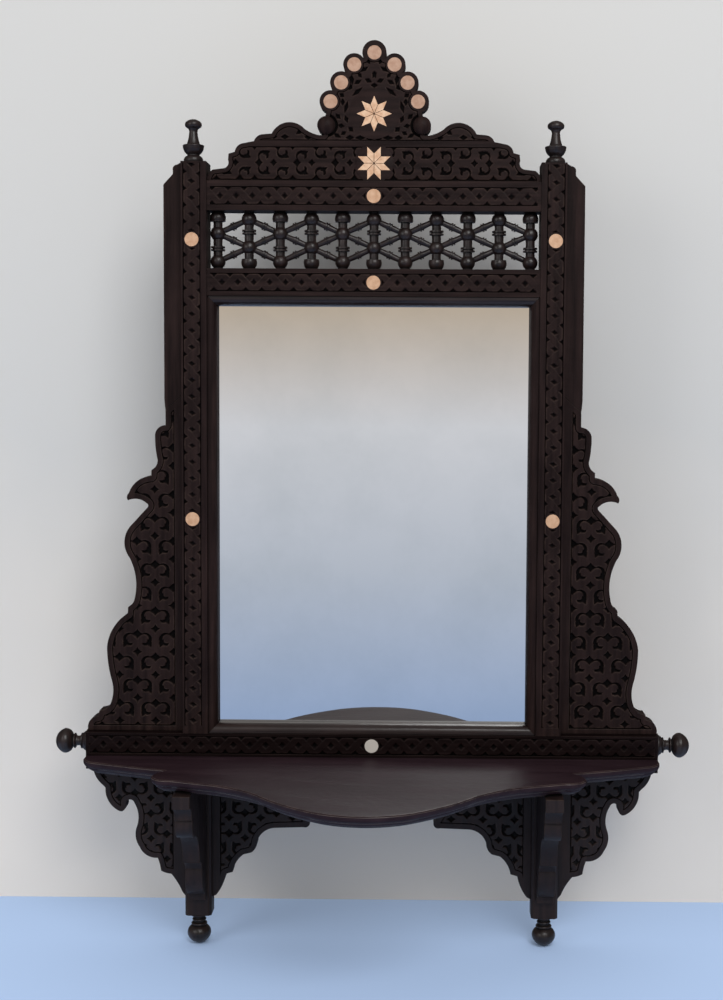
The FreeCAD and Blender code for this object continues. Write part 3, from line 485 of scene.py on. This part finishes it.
@dataclass
class SunkField:
    """The sunk floor of a carved board, sampled on a grid.

    rim is each grid point's distance from the floor's outer edge, positive on the floor
    and held at reach. pads is its distance from the raised pads on the floor, positive
    beside them. An edge loop that is no wider than widest_pad goes round a pad. A round
    pad that reaches the outer edge is given by its X, Z and radius, and is left out of rim.
    On a straight band, rim is the distance from the two long edges alone.
    """

    node: str
    depth: float
    rounds: tuple[tuple[float, float, float], ...] = ()
    band: Optional[Grain] = None
    pitch: float = 0.65 * MM
    reach: float = 7.0 * MM
    widest_pad: float = 62.0 * MM
    level_gap: float = 0.02 * MM
    snap: float = 0.01 * MM
    round_gap: float = 0.3 * MM
    x: np.ndarray = field(init=False, repr=False)
    z: np.ndarray = field(init=False, repr=False)
    rim: np.ndarray = field(init=False, repr=False)
    pads: np.ndarray = field(init=False, repr=False)

    def __post_init__(self) -> None:
        """Measure the floor."""
        loops = self.loops()
        low = np.min([loop.min(axis=0) for loop in loops], axis=0) - 4 * self.pitch
        high = np.max([loop.max(axis=0) for loop in loops], axis=0) + 4 * self.pitch
        self.x = np.arange(low[0], high[0], self.pitch)
        self.z = np.arange(low[1], high[1], self.pitch)
        small = [np.ptp(loop, axis=0).max() < self.widest_pad for loop in loops]
        outer = [loop for loop, pad in zip(loops, small) if not pad]
        self.rim = self.band_distance(np.concatenate(outer)) if self.band else self.distance(outer)
        self.pads = -self.distance([loop for loop, pad in zip(loops, small) if pad])
        for place_x, place_z, radius in self.rounds:
            gap = radius - np.hypot(self.x[None, :] - place_x, self.z[:, None] - place_z)
            self.rim = np.where((gap > 0.0) & (gap < 2 * self.pitch), self.reach, self.rim)

    def loops(self) -> list[np.ndarray]:
        """Find the floor's edge: the sides that only one of its triangles has.

        Returns:
            The corners of each closed loop in X and Z, the first one repeated at the end.
        """
        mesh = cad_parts[self.node].data
        places = np.empty(3 * len(mesh.vertices))
        mesh.vertices.foreach_get("co", places)
        places = places.reshape(-1, 3)
        mesh.calc_loop_triangles()
        corners = np.empty(3 * len(mesh.loop_triangles), dtype=np.int32)
        mesh.loop_triangles.foreach_get("vertices", corners)
        corners = corners.reshape(-1, 3)
        level = np.abs(places[:, 1] + self.depth) < self.level_gap
        flat = np.round(places[:, [0, 2]] / self.snap).astype(np.int64)
        points, number = np.unique(flat, axis=0, return_inverse=True)
        floor = number.reshape(-1)[corners[level[corners].all(axis=1)]]
        sides = floor[:, [0, 1, 1, 2, 2, 0]].reshape(-1, 2)
        _, first, count = np.unique(np.sort(sides, axis=1), axis=0, return_index=True, return_counts=True)
        follows = {int(start): int(end) for start, end in sides[first[count == 1]]}
        found = []
        while follows:
            chain = [next(iter(follows))]
            while chain[-1] in follows:
                chain.append(follows.pop(chain[-1]))
            found.append(points[np.array(chain)] * self.snap)
        return found

    def band_distance(self, corners: np.ndarray) -> np.ndarray:
        """Measure every grid point from the long edges of a straight band: half its width less the offset.

        Args:
            corners: the band's corners in X and Z.

        Returns:
            The distances, positive between the edges and held at reach.
        """
        low, high = corners.min(axis=0), corners.max(axis=0)
        x, z = np.meshgrid(self.x, self.z)
        over_x = np.abs(x - (low[0] + high[0]) / 2) - (high[0] - low[0]) / 2
        over_z = np.abs(z - (low[1] + high[1]) / 2) - (high[1] - low[1]) / 2
        beyond, past = (over_x, over_z) if self.band is Grain.LEVEL else (over_z, over_x)
        return np.where(beyond < 2 * self.pitch, np.clip(-past, -self.reach, self.reach), -self.reach)

    def distance(self, loops: list[np.ndarray]) -> np.ndarray:
        """Measure every grid point from some loops.

        Args:
            loops: the loops' corners.

        Returns:
            The distances, positive inside a loop and held at reach.
        """
        squared = np.full((len(self.z), len(self.x)), self.reach ** 2)
        odd = np.zeros(squared.shape, dtype=bool)
        for loop in loops:
            for start, end in zip(loop[:-1], loop[1:]):
                self.cross_one_edge(odd, start, end)
                if not self.on_round(start, end):
                    self.near_one_edge(squared, start, end - start)
        return np.where(odd, 1.0, -1.0) * np.sqrt(squared)

    def on_round(self, start: np.ndarray, end: np.ndarray) -> bool:
        """Whether a piece of the edge goes along one of the round pads."""
        for place_x, place_z, radius in self.rounds:
            gaps = [abs(math.hypot(*(point - (place_x, place_z))) - radius) for point in (start, end)]
            if max(gaps) < self.round_gap:
                return True
        return False

    def window(self, values: np.ndarray, low: float, high: float) -> slice:
        """The stretch of an axis between two values."""
        return slice(int(np.searchsorted(values, low)), int(np.searchsorted(values, high)))

    def near_one_edge(self, squared: np.ndarray, start: np.ndarray, run: np.ndarray) -> None:
        """Bring the grid points near one piece of the edge up to date.

        A point's distance is that to the nearest point of the piece, which is its
        projection on it, held between the ends.

        Args:
            squared: least squared distance so far.
            start: the piece's start.
            run: the piece as a vector.
        """
        ends = np.stack([start, start + run])
        low, high = ends.min(axis=0) - self.reach, ends.max(axis=0) + self.reach
        part = (self.window(self.z, low[1], high[1]), self.window(self.x, low[0], high[0]))
        dx = self.x[part[1]][None, :] - start[0]
        dz = self.z[part[0]][:, None] - start[1]
        share = np.clip((dx * run[0] + dz * run[1]) / max(float(run @ run), 1e-18), 0.0, 1.0)
        gap = (dx - share * run[0]) ** 2 + (dz - share * run[1]) ** 2
        squared[part] = np.minimum(squared[part], gap)

    def cross_one_edge(self, odd: np.ndarray, start: np.ndarray, end: np.ndarray) -> None:
        """Turn over the grid points to the right of one piece of the edge.

        A point with an odd count of pieces to its left is inside.

        Args:
            odd: whether each point's count is odd so far.
            start: the piece's start.
            end: the piece's end.
        """
        rows = self.window(self.z, min(start[1], end[1]), max(start[1], end[1]))
        if rows.start == rows.stop:
            return
        share = (self.z[rows] - start[1]) / (end[1] - start[1])
        crossing = start[0] + share * (end[0] - start[0])
        odd[rows] ^= self.x[None, :] > crossing[:, None]


def soft_step(value: np.ndarray, width: float) -> np.ndarray:
    """Rise smoothly from 0 to 1 while a value goes from 0 to a width: 3t^2 - 2t^3."""
    share = np.clip(value / width, 0.0, 1.0)
    return share * share * (3.0 - 2.0 * share)


class Pattern(Protocol):
    """A carved pattern, as a height over the floor of a sunk field."""

    def height(self, x: np.ndarray, z: np.ndarray, rise: float) -> np.ndarray:
        """Height of the carved surface over the floor."""


@dataclass(frozen=True)
class Carving:
    """The carved surface that fills a sunk field.

    The surface is a height over the floor on the field's grid. It falls into a groove
    along the outer edge, goes on into the board and the pads by a margin, and a thin
    back closes it there.
    """

    ground: SunkField
    pattern: Pattern
    finish: Finish
    rise: float = 2.85 * MM
    groove: float = 0.8 * MM
    buried: float = 0.4 * MM
    back: float = 1.0 * MM
    margin: float = 1.3 * MM
    lip: float = 0.15 * MM
    shade: tuple[float, float] = (0.8, 0.6)
    sharp: float = 0.3 * MM

    def build(self) -> None:
        """Carve the field and put the carved piece into the scene."""
        ground = self.ground
        x, z = np.meshgrid(ground.x, ground.z)
        height = self.pattern.height(x, z, self.rise)
        height = height * soft_step(ground.rim - self.lip, self.groove)
        height = np.where(ground.rim > 0.0, height, -self.buried)
        depth = ground.depth + height
        kept = np.minimum(ground.rim, ground.pads) > -self.margin
        cells = kept[:-1, :-1] & kept[1:, :-1] & kept[:-1, 1:] & kept[1:, 1:]
        number = np.arange(x.size).reshape(x.shape)
        quads = np.stack([number[:-1, :-1], number[:-1, 1:], number[1:, 1:], number[1:, :-1]], axis=-1)[cells]
        used, quads = np.unique(quads, return_inverse=True)
        quads = quads.reshape(-1, 4)
        front = np.stack([x, -depth, z], axis=-1).reshape(-1, 3)[used]
        mesh = self.closed(front, quads, ground.depth - self.back)
        # Painted shade, partly grime: the deeper a point lies in the carving, the darker the wood's colour there.
        self.mark(mesh, "recess_shade_and_grime", soft_step(self.shade[0] - height / self.rise, self.shade[1]).reshape(-1)[used])
        self.mark(mesh, "rub", self.wear(height).reshape(-1)[used])
        show(ground.node + "_carving", mesh, "dark_wood", self.finish)

    def wear(self, height: np.ndarray) -> np.ndarray:
        """How far a hand would rub each point: its height over the mean of four points around it.

        Args:
            height: the carved heights.

        Returns:
            Values from 0 on flats and hollows to 1 on sharp edges.
        """
        around = sum(np.roll(height, step, axis) for step in (-2, 2) for axis in (0, 1)) / 4
        return soft_step(height - around, self.sharp)

    def closed(self, front: np.ndarray, quads: np.ndarray, back: float) -> bpy.types.Mesh:
        """Close a carved front with a rim and a flat back.

        Args:
            front: the front's points.
            quads: the front's faces.
            back: depth of the back.

        Returns:
            The closed mesh.
        """
        sides = quads[:, [0, 1, 1, 2, 2, 3, 3, 0]].reshape(-1, 2)
        _, first, count = np.unique(np.sort(sides, axis=1), axis=0, return_index=True, return_counts=True)
        rim = sides[first[count == 1]]
        edge, renumbered = np.unique(rim, return_inverse=True)
        behind = front[edge]
        behind[:, 1] = -back
        renumbered = renumbered.reshape(-1, 2) + len(front)
        walls = np.stack([rim[:, 1], rim[:, 0], renumbered[:, 0], renumbered[:, 1]], axis=-1)
        mesh = bpy.data.meshes.new(self.ground.node + "_carving")
        mesh.from_pydata(np.concatenate([front, behind]), [], np.concatenate([quads, walls]))
        shape = bmesh.new()
        shape.from_mesh(mesh)
        open_edges = [edge for edge in shape.edges if edge.is_boundary]
        bmesh.ops.triangle_fill(shape, edges=open_edges, use_beauty=True, normal=(0.0, 1.0, 0.0))
        shape.to_mesh(mesh)
        shape.free()
        mesh.polygons.foreach_set("use_smooth", np.ones(len(mesh.polygons), dtype=bool))
        return mesh

    def mark(self, mesh: bpy.types.Mesh, name: str, values: np.ndarray) -> None:
        """Keep a value of the front's points for the finish, and 0 for the rest.

        Args:
            mesh: the carved mesh.
            name: the value's name.
            values: one for each point of the front.
        """
        kept = np.zeros(len(mesh.vertices))
        kept[: len(values)] = values
        mesh.attributes.new(name, "FLOAT", "POINT").data.foreach_set("value", kept)


@dataclass(frozen=True)
class StrapPattern:
    """Two broad flat straps that cross in a row, with a notch at each edge and an eye between crossings.

    Notches are steep chips and eyes are pits with four sloping sides. The strap that passes
    under dives along the two edges of the upper one, which run from a notch's tip to the end
    of the next eye, and the straps take turns to be on top. A slant drops one side of the row.
    """

    axis: Grain
    middle: float
    start: float
    pitch: float
    half: float
    notch: tuple[float, float]
    eye: tuple[float, float]
    slant: float = 0.0
    chip_depth: float = 2.4 * MM
    dive: float = 0.4 * MM
    dive_length: float = 2.0 * MM
    dive_edge: float = 0.5 * MM
    notch_slope: float = 2.8
    eye_slope: float = 1.5

    def height(self, x: np.ndarray, z: np.ndarray, rise: float) -> np.ndarray:
        """Height of the straps over the floor.

        Args:
            x: grid of X.
            z: grid of Z.
            rise: height of the top.

        Returns:
            The heights.
        """
        level = self.axis is Grain.LEVEL
        across = (z if level else x) - self.middle
        along = (x if level else z) - self.start + self.slant * across
        step = np.round(along / self.pitch)
        beside = along - step * self.pitch
        notch = 1.0 - np.abs(beside) / self.notch[0] - (self.half - np.abs(across)) / self.notch[1]
        eye = 1.0 - (self.pitch / 2 - np.abs(beside)) / self.eye[0] - np.abs(across) / self.eye[1]
        chips = self.chip_depth * np.clip(np.maximum(self.notch_slope * notch, self.eye_slope * eye), 0.0, 1.0)
        run, climb = self.pitch / 2 - self.eye[0], self.half - self.notch[1]
        lean = np.where(np.mod(step, 2) == 0, beside, -beside)
        past = (np.abs(lean / run + across / climb) - 1.0) * run * climb / math.hypot(run, climb)
        fade = np.exp(-np.maximum(past, 0.0) / self.dive_length)
        under = (lean * across > 0.0) * soft_step(past, self.dive_edge) * fade
        return rise - np.maximum(chips, self.dive * under)


def chip(u: np.ndarray, v: np.ndarray, half_u: float, half_v: float, fullness: float = 1.0) -> np.ndarray:
    """Distance from a four-cornered chip about the origin, negative inside.

    It is a diamond at a fullness of 1, where the shares of both half sizes add to 1, and
    a star with hollow sides below that, where the shares are raised to the fullness.
    """
    return ((np.abs(u) / half_u) ** fullness + (np.abs(v) / half_v) ** fullness - 1.0) * 0.6 * min(half_u, half_v)


@dataclass(frozen=True)
class ScrollPattern:
    """A half-drop lattice of paired scrolls, each pair with a four-pointed star behind its cusp.

    A scroll is the moon between two circles, cut off by a line at its hook, with a pointed
    tail at its outer corner. Its pair is its mirror image, and a chip joins them at the cusp.
    The motif is drawn for a period of drawn_period and scaled to the real one.
    """

    origin: tuple[float, float]
    column: float = 20.3 * MM
    period: float = 52.3 * MM
    turn: float = 0.0
    depth_share: float = 0.92
    wall: float = 0.7 * MM
    swell: float = 0.45 * MM
    drawn_period: float = 52.3
    tail_lean: float = 25.0

    def pockets(self, x: np.ndarray, z: np.ndarray) -> np.ndarray:
        """Distance from the nearest pocket of the lattice, negative inside.

        Args:
            x: grid of X.
            z: grid of Z.

        Returns:
            The distances.
        """
        dx, dz = np.abs(x) - self.origin[0], z - self.origin[1]
        u = math.cos(self.turn) * dx + math.sin(self.turn) * dz
        v = math.cos(self.turn) * dz - math.sin(self.turn) * dx
        nearest = np.full(x.shape, np.inf)
        for shift_u, shift_v in ((0.0, 0.0), (self.column, self.period / 2)):
            near_u = np.mod(u - shift_u + self.column, 2 * self.column) - self.column
            near_v = np.mod(v - shift_v + 0.8 * self.period, self.period) - 0.8 * self.period
            nearest = np.minimum(nearest, self.motif(near_u, near_v))
        return nearest

    def motif(self, u: np.ndarray, v: np.ndarray) -> np.ndarray:
        """Distance from one pair of scrolls and its star, with the cusp at the origin.

        Args:
            u: across the pair.
            v: along the way that the cusp points.

        Returns:
            The distances.
        """
        scale = self.period / self.drawn_period
        beside = np.abs(u)
        outer = np.hypot(beside - 9.0 * scale, v + 5.8 * scale) - 7.0 * scale
        inner = np.hypot(beside - 7.5 * scale, v + 5.2 * scale) - 5.3 * scale
        hook = 0.96 * (3.0 * scale - beside) - 0.28 * (v + 1.2 * scale)
        scroll = np.maximum(np.maximum(outer, -inner), hook)
        c, s = math.cos(math.radians(self.tail_lean)), math.sin(math.radians(self.tail_lean))
        tail_u, tail_v = beside - 13.4 * scale, v + 10.4 * scale
        tail = chip(c * tail_u + s * tail_v, c * tail_v - s * tail_u, 2.8 * scale, 4.6 * scale)
        cusp = chip(u, v - 0.2 * scale, 5.6 * scale, 5.0 * scale, 0.85)
        star = chip(u, v + 20.0 * scale, 5.2 * scale, 4.8 * scale, 0.72)
        return np.minimum(np.minimum(scroll, tail), np.minimum(cusp, star))

    def height(self, x: np.ndarray, z: np.ndarray, rise: float) -> np.ndarray:
        """Height of the carved ground.

        Args:
            x: grid of X.
            z: grid of Z.
            rise: height of the uncut ground.

        Returns:
            The heights.
        """
        return rise * (1.0 - self.depth_share * soft_step(self.swell - self.pockets(x, z), self.wall))


@dataclass(frozen=True)
class CrestPattern:
    """The crest's carving: scrolls that lie on their side below the strip, chips above it.

    A chip is a diamond at a place, with two half sizes and a lean, repeated on the
    other side of the middle. A round hollow is cut about each boss.
    """

    panel: ScrollPattern
    strip: float
    chips: tuple[tuple[float, float, float, float, float], ...]
    hollow: tuple[float, float, float]

    def height(self, x: np.ndarray, z: np.ndarray, rise: float) -> np.ndarray:
        """Height of the carved ground.

        Args:
            x: grid of X.
            z: grid of Z.
            rise: height of the uncut ground.

        Returns:
            The heights.
        """
        lower = self.panel.pockets(x, z)
        upper = np.hypot(np.abs(x) - self.hollow[0], z - self.hollow[1]) - self.hollow[2]
        for place_x, place_z, half_u, half_v, lean in self.chips:
            dx, dz = np.abs(x) - place_x * MM, z - place_z * MM
            c, s = math.cos(math.radians(lean)), math.sin(math.radians(lean))
            upper = np.minimum(upper, chip(c * dx + s * dz, c * dz - s * dx, half_u * MM, half_v * MM))
        cut = np.where(z < self.strip, lower, upper)
        return rise * (1.0 - self.panel.depth_share * soft_step(self.panel.swell - cut, self.panel.wall))


@dataclass
class Carcass:
    """Stiles, rails and sight moulding, with strapwork in their sunk bands."""

    rounding: float = 0.7 * MM
    moulding_rounding: float = 0.4 * MM
    stile_floor: float = 31.0 * MM
    rail_floor: float = 30.0 * MM
    stile_axis: float = 199.25 * MM
    stile_disc: float = -0.4 * MM
    stile_pitch: float = 18.08 * MM
    stile_half: float = 9.75 * MM
    rail_half: float = 10.0 * MM
    stile_notch: tuple[float, float] = (3.7 * MM, 5.4 * MM)
    stile_eye: tuple[float, float] = (3.4 * MM, 5.2 * MM)
    stile_slant: float = 0.17
    rail_notch: tuple[float, float] = (4.9 * MM, 5.2 * MM)
    rail_eye: tuple[float, float] = (4.6 * MM, 4.6 * MM)
    rails: tuple[tuple[str, float, float, Finish], ...] = (
        ("top_rail", 47.5 * MM, 17.7 * MM, LEVEL_WOOD),
        ("middle_rail", -46.5 * MM, 17.5 * MM, LEVEL_WOOD),
        # The bottom rail's darker wood is painted shade.
        ("bottom_rail", -561.5 * MM, 18.2 * MM, SHADED_WOOD),
    )

    def build(self) -> None:
        """Round the members' edges and carve their bands."""
        for side, sign in zip(SIDES, (-1.0, 1.0)):
            node = "stile_" + side
            ease(node, "dark_wood", self.rounding, UPRIGHT_WOOD, EDGE_UPRIGHT)
            ease("sight_moulding_" + side, "dark_wood", self.moulding_rounding, UPRIGHT_WOOD, EDGE_UPRIGHT)
            pattern = StrapPattern(Grain.UPRIGHT, sign * self.stile_axis, self.stile_disc, self.stile_pitch,
                                   self.stile_half, self.stile_notch, self.stile_eye, self.stile_slant)
            Carving(SunkField(node, self.stile_floor, band=Grain.UPRIGHT), pattern, UPRIGHT_WOOD).build()
        for node, middle, pitch, finish in self.rails:
            ease(node, "dark_wood", self.rounding, finish, EDGE_LEVEL)
            pattern = StrapPattern(Grain.LEVEL, middle, 0.0, pitch,
                                   self.rail_half, self.rail_notch, self.rail_eye)
            Carving(SunkField(node, self.rail_floor, band=Grain.LEVEL), pattern, finish).build()
        for node in ("sight_moulding_top", "sight_moulding_bottom"):
            ease(node, "dark_wood", self.moulding_rounding, MOULDED_WOOD, EDGE_LEVEL)


@dataclass
class Crest:
    """Crest board with its carving, bosses, finials and bone inlay."""

    rounding: float = 0.7 * MM
    floor: float = 25.0 * MM
    strip: float = 103.0 * MM
    hollow: tuple[float, float, float] = (52.3 * MM, 124.3 * MM, 12.4 * MM)
    star_pad: tuple[float, float, float] = (0.0, 83.56 * MM, 21.5 * MM)
    disc_rounding: float = 0.3 * MM
    star_rounding: float = 0.1 * MM
    panel: ScrollPattern = ScrollPattern(
        origin=(42.3 * MM, 84.0 * MM), column=17.7 * MM, period=41.8 * MM, turn=-math.pi / 2)
    chips: tuple[tuple[float, float, float, float, float], ...] = (
        (6.6, 194.0, 2.2, 3.6, -20.0),
        (10.6, 185.0, 4.2, 1.9, -35.0),
        (0.0, 180.0, 2.2, 4.4, 20.0),
        (6.6, 172.8, 3.8, 2.2, 25.0),
        (0.0, 167.6, 3.4, 2.4, 0.0),
        (16.0, 178.5, 3.0, 1.8, 50.0),
        (24.6, 174.0, 2.2, 5.4, -8.0),
        (18.0, 171.2, 4.0, 2.2, -30.0),
        (26.0, 165.4, 2.2, 3.0, 30.0),
        (18.6, 160.6, 6.4, 2.1, -40.0),
        (35.4, 157.0, 3.0, 2.4, 40.0),
        (34.4, 149.6, 2.2, 3.6, 0.0),
        (30.6, 144.2, 2.0, 6.0, 14.0),
        (39.4, 134.0, 3.4, 2.2, 45.0),
        (30.4, 131.2, 2.0, 3.8, -20.0),
        (36.0, 124.0, 3.4, 2.2, 10.0),
        (25.4, 120.2, 3.2, 2.6, 45.0),
        (33.4, 116.0, 3.0, 2.0, -30.0),
        (40.6, 113.6, 4.4, 2.0, 30.0),
        (26.6, 111.2, 4.2, 2.6, 0.0),
        (15.2, 111.0, 5.2, 2.4, 0.0),
        (4.4, 110.0, 3.8, 1.8, 0.0),
        (71.9, 111.6, 3.8, 2.6, 0.0),
        (81.9, 117.1, 3.6, 2.2, -35.0),
        (97.6, 111.8, 4.0, 2.6, 0.0),
        (109.5, 112.0, 3.2, 2.4, 0.0),
    )

    def build(self) -> None:
        """Round and carve the board, and dress what stands on it."""
        ease("crest_board", "dark_wood", self.rounding, LEVEL_WOOD, EDGE_LEVEL)
        pattern = CrestPattern(self.panel, self.strip, self.chips, self.hollow)
        Carving(SunkField("crest_board", self.floor, (self.star_pad,)), pattern, LEVEL_WOOD).build()
        ease("crest_bosses", "dark_wood", 0.0, UPRIGHT_WOOD, UPRIGHT_WOOD)
        for node in ("finial_left", "finial_right"):
            ease(node, "dark_wood", 0.0, TURNED_WOOD, TURNED_WOOD)
        for node in ("star_upper", "star_lower"):
            ease(node, "bone", self.star_rounding, BONE, BONE)
        ease("frame_discs", "bone", self.disc_rounding, FRAME_BONE, FRAME_BONE)
        ease("crest_discs", "bone", self.disc_rounding, CREST_BONE, CREST_BONE)


@dataclass
class Wings:
    """Plain edge boards and carved wings beside the mirror."""

    rounding: float = 0.8 * MM
    floor: float = 19.0 * MM
    pattern: ScrollPattern = ScrollPattern(origin=(243.3 * MM, -465.1 * MM))

    def build(self) -> None:
        """Round and carve the boards."""
        for side in SIDES:
            ease("edge_board_" + side, "dark_wood", self.rounding, UPRIGHT_WOOD, EDGE_UPRIGHT)
            node = "wing_" + side
            ease(node, "dark_wood", self.rounding, UPRIGHT_WOOD, EDGE_UPRIGHT)
            Carving(SunkField(node, self.floor), self.pattern, UPRIGHT_WOOD).build()


@dataclass
class Lattice:
    """Turned spindles and rungs above the mirror."""

    spindles: int = 11
    rows: tuple[str, ...] = ("upper", "middle", "lower")

    def build(self) -> None:
        """Smooth and dress the turned pieces."""
        names = ["lattice_spindle_%02d" % (number + 1) for number in range(self.spindles)]
        for node in names + ["lattice_rungs_" + row for row in self.rows]:
            ease(node, "dark_wood", 0.0, TURNED_WOOD, TURNED_WOOD)


@dataclass
class Console:
    """Shelf, posts, brackets, carved aprons, pendants and knobs."""

    shelf_rounding: float = 0.5 * MM
    rounding: float = 0.8 * MM
    floor: float = 13.0 * MM
    outer: ScrollPattern = ScrollPattern(
        origin=(250.3 * MM, -692.0 * MM), column=18.0 * MM, period=47.0 * MM, turn=math.pi)
    inner: ScrollPattern = ScrollPattern(
        origin=(144.0 * MM, -643.1 * MM), column=18.0 * MM, period=47.0 * MM, turn=math.pi)

    def build(self) -> None:
        """Round, carve and dress the pieces under the mirror."""
        ease("shelf", "dark_wood", self.shelf_rounding, SHELF_WOOD, EDGE_SHELF)
        for side in SIDES:
            for name in ("post_", "bracket_"):
                ease(name + side, "dark_wood", self.rounding, LOWER_WOOD, EDGE_UPRIGHT)
            for name, pattern in (("apron_outer_", self.outer), ("apron_inner_", self.inner)):
                ease(name + side, "dark_wood", self.rounding, LOWER_WOOD, EDGE_UPRIGHT)
                Carving(SunkField(name + side, self.floor), pattern, LOWER_WOOD).build()
            for name in ("pendant_", "rail_knob_"):
                ease(name + side, "dark_wood", 0.0, TURNED_WOOD, TURNED_WOOD)


@dataclass
class Glazing:
    """Mirror glass, backboard, turn buttons and hangers."""

    buttons: tuple[str, ...] = ("upper_left", "lower_left", "upper_right", "lower_right", "top", "bottom")

    def build(self) -> None:
        """Dress the glass and what is behind it."""
        paint("mirror_glass", SILVER)
        paint("backboard", BACK_WOOD)
        for name in self.buttons:
            paint("turn_button_" + name, BRASS)
        for node in ("button_screws", "hanger_screws", "hanger_plate_left", "hanger_plate_right"):
            paint(node, BRASS)


@dataclass
class Stage:
    """Floor, wall, lamps, pale surroundings and the camera at the photograph's place."""

    floor_reach: tuple[float, float] = (-1.0, 0.13)
    wall_reach: tuple[float, float] = (-0.794, 1.3)
    half_width: float = 1.6
    aim: tuple[float, float, float] = (0.0, 0.0, -0.28)
    camera_place: tuple[float, float, float] = (0.058, -1.686, -0.151)
    lens: float = 54.0
    sensor: float = 36.0
    down: float = 3.72
    left: float = 0.54
    roll: float = -0.33
    shift: tuple[float, float] = (-0.050, -0.024)
    lamps: tuple[tuple[str, tuple[float, float, float], float, float], ...] = (
        ("key", (0.65, -2.1, 1.35), 1.4, 41.0),
        ("fill", (-1.75, -1.8, 0.50), 1.2, 13.0),
    )

    def build(self) -> None:
        """Set the stage."""
        self.backdrop()
        self.light()
        self.surroundings()
        self.camera()

    def backdrop(self) -> None:
        """Lay a floor under the pendants and stand a wall at its far edge."""
        near, far = self.floor_reach
        low, high = self.wall_reach
        self.sheet("pale_floor", FLOOR, (near, low), (far, low))
        self.sheet("pale_wall", WALL, (far, low), (far, high))

    def sheet(self, name: str, finish: Finish, start: tuple[float, float], end: tuple[float, float]) -> None:
        """Carry a straight line in Y and Z across the stage.

        Args:
            name: the sheet's name.
            finish: its finish.
            start: Y and Z of the line's start.
            end: Y and Z of its end.
        """
        across = np.array([-self.half_width, self.half_width, self.half_width, -self.half_width])
        line = np.array([start, start, end, end])
        mesh = bpy.data.meshes.new(name)
        mesh.from_pydata(np.column_stack([across, line]), [], [(0, 1, 2, 3)])
        mesh.materials.append(finish.material())
        piece = bpy.data.objects.new(name, mesh)
        bpy.context.scene.collection.objects.link(piece)

    def light(self) -> None:
        """Hang soft square lamps that look at the middle of the mirror."""
        for name, place, size, power in self.lamps:
            lamp = bpy.data.lights.new(name, "AREA")
            lamp.size = size
            lamp.energy = power
            holder = bpy.data.objects.new(name, lamp)
            holder.location = place
            away = np.array(place) - self.aim
            flat = math.hypot(away[0], away[1])
            holder.rotation_euler = (math.atan2(flat, away[2]), 0.0, math.atan2(away[0], -away[1]))
            bpy.context.scene.collection.objects.link(holder)

    def surroundings(self) -> None:
        """Light the object from the front, and show the mirror a pale wash from cool below to warm above.

        What a polished face mirrors from behind is much dimmer, because the frame hangs close
        to its wall. Plain light from behind is only a little dimmer, so that the back shows.
        """
        world = bpy.data.worlds.new("pale_room")
        world.use_nodes = True
        bpy.context.scene.world = world
        graph = Graph(world.node_tree)
        way = graph.add("ShaderNodeTexCoord").outputs["Generated"]
        parts = graph.add("ShaderNodeSeparateXYZ", {0: way}).outputs
        aside = graph.sums("ABSOLUTE", parts[0], 0.0)
        wash = graph.ramp(
            graph.span(parts[2], (-0.25, 0.10), (0.0, 1.0)),
            (0.0, (0.26, 0.37, 0.60)),
            (0.35, (0.48, 0.52, 0.60)),
            (0.62, (0.655, 0.66, 0.695)),
            (0.85, (0.52, 0.43, 0.34)),
            (1.0, (0.60, 0.58, 0.56)),
        )
        path = graph.add("ShaderNodeLightPath").outputs
        mirrored = graph.sums("MAXIMUM", path["Is Glossy Ray"], path["Is Transmission Ray"])
        behind = graph.span(parts[1], (0.0, 0.6), (1.0, 0.25))
        light = graph.add("ShaderNodeBackground", {
            0: (1.0, 0.99, 0.97, 1.0), 1: graph.span(parts[1], (0.0, 0.6), (0.6, 0.5))})
        beside = graph.span(aside, (0.26, 0.50), (1.0, 0.4))
        seen = graph.add("ShaderNodeBackground", {0: wash, 1: graph.sums("MULTIPLY", beside, behind)})
        pale = graph.add("ShaderNodeBackground", {0: (0.61, 0.61, 0.62, 1.0), 1: 1.0})
        lit = graph.add("ShaderNodeMixShader", {0: mirrored, 1: light.outputs[0], 2: seen.outputs[0]})
        whole = graph.add("ShaderNodeMixShader", {0: path["Is Camera Ray"], 1: lit.outputs[0], 2: pale.outputs[0]})
        graph.add("ShaderNodeOutputWorld", {0: whole.outputs[0]})

    def camera(self) -> None:
        """Set the camera at the photograph's place and angle."""
        eye = bpy.data.cameras.new("photograph")
        eye.lens = self.lens
        eye.sensor_width = self.sensor
        eye.shift_x, eye.shift_y = self.shift
        holder = bpy.data.objects.new("photograph", eye)
        holder.location = self.camera_place
        holder.rotation_euler = (math.radians(90.0 - self.down), math.radians(self.roll), math.radians(self.left))
        bpy.context.scene.collection.objects.link(holder)
        bpy.context.scene.camera = holder


def main() -> None:
    """Dress every sub-assembly, set the stage and set a plain view transform."""
    logging.basicConfig(level=logging.INFO, format="%(name)s %(message)s")
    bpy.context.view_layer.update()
    for assembly in (Carcass(), Crest(), Wings(), Lattice(), Console(), Glazing(), Stage()):
        LOG.info("building %s", type(assembly).__name__)
        assembly.build()
    bpy.context.scene.view_settings.view_transform = "Standard"


if __name__ == "__main__":
    main()
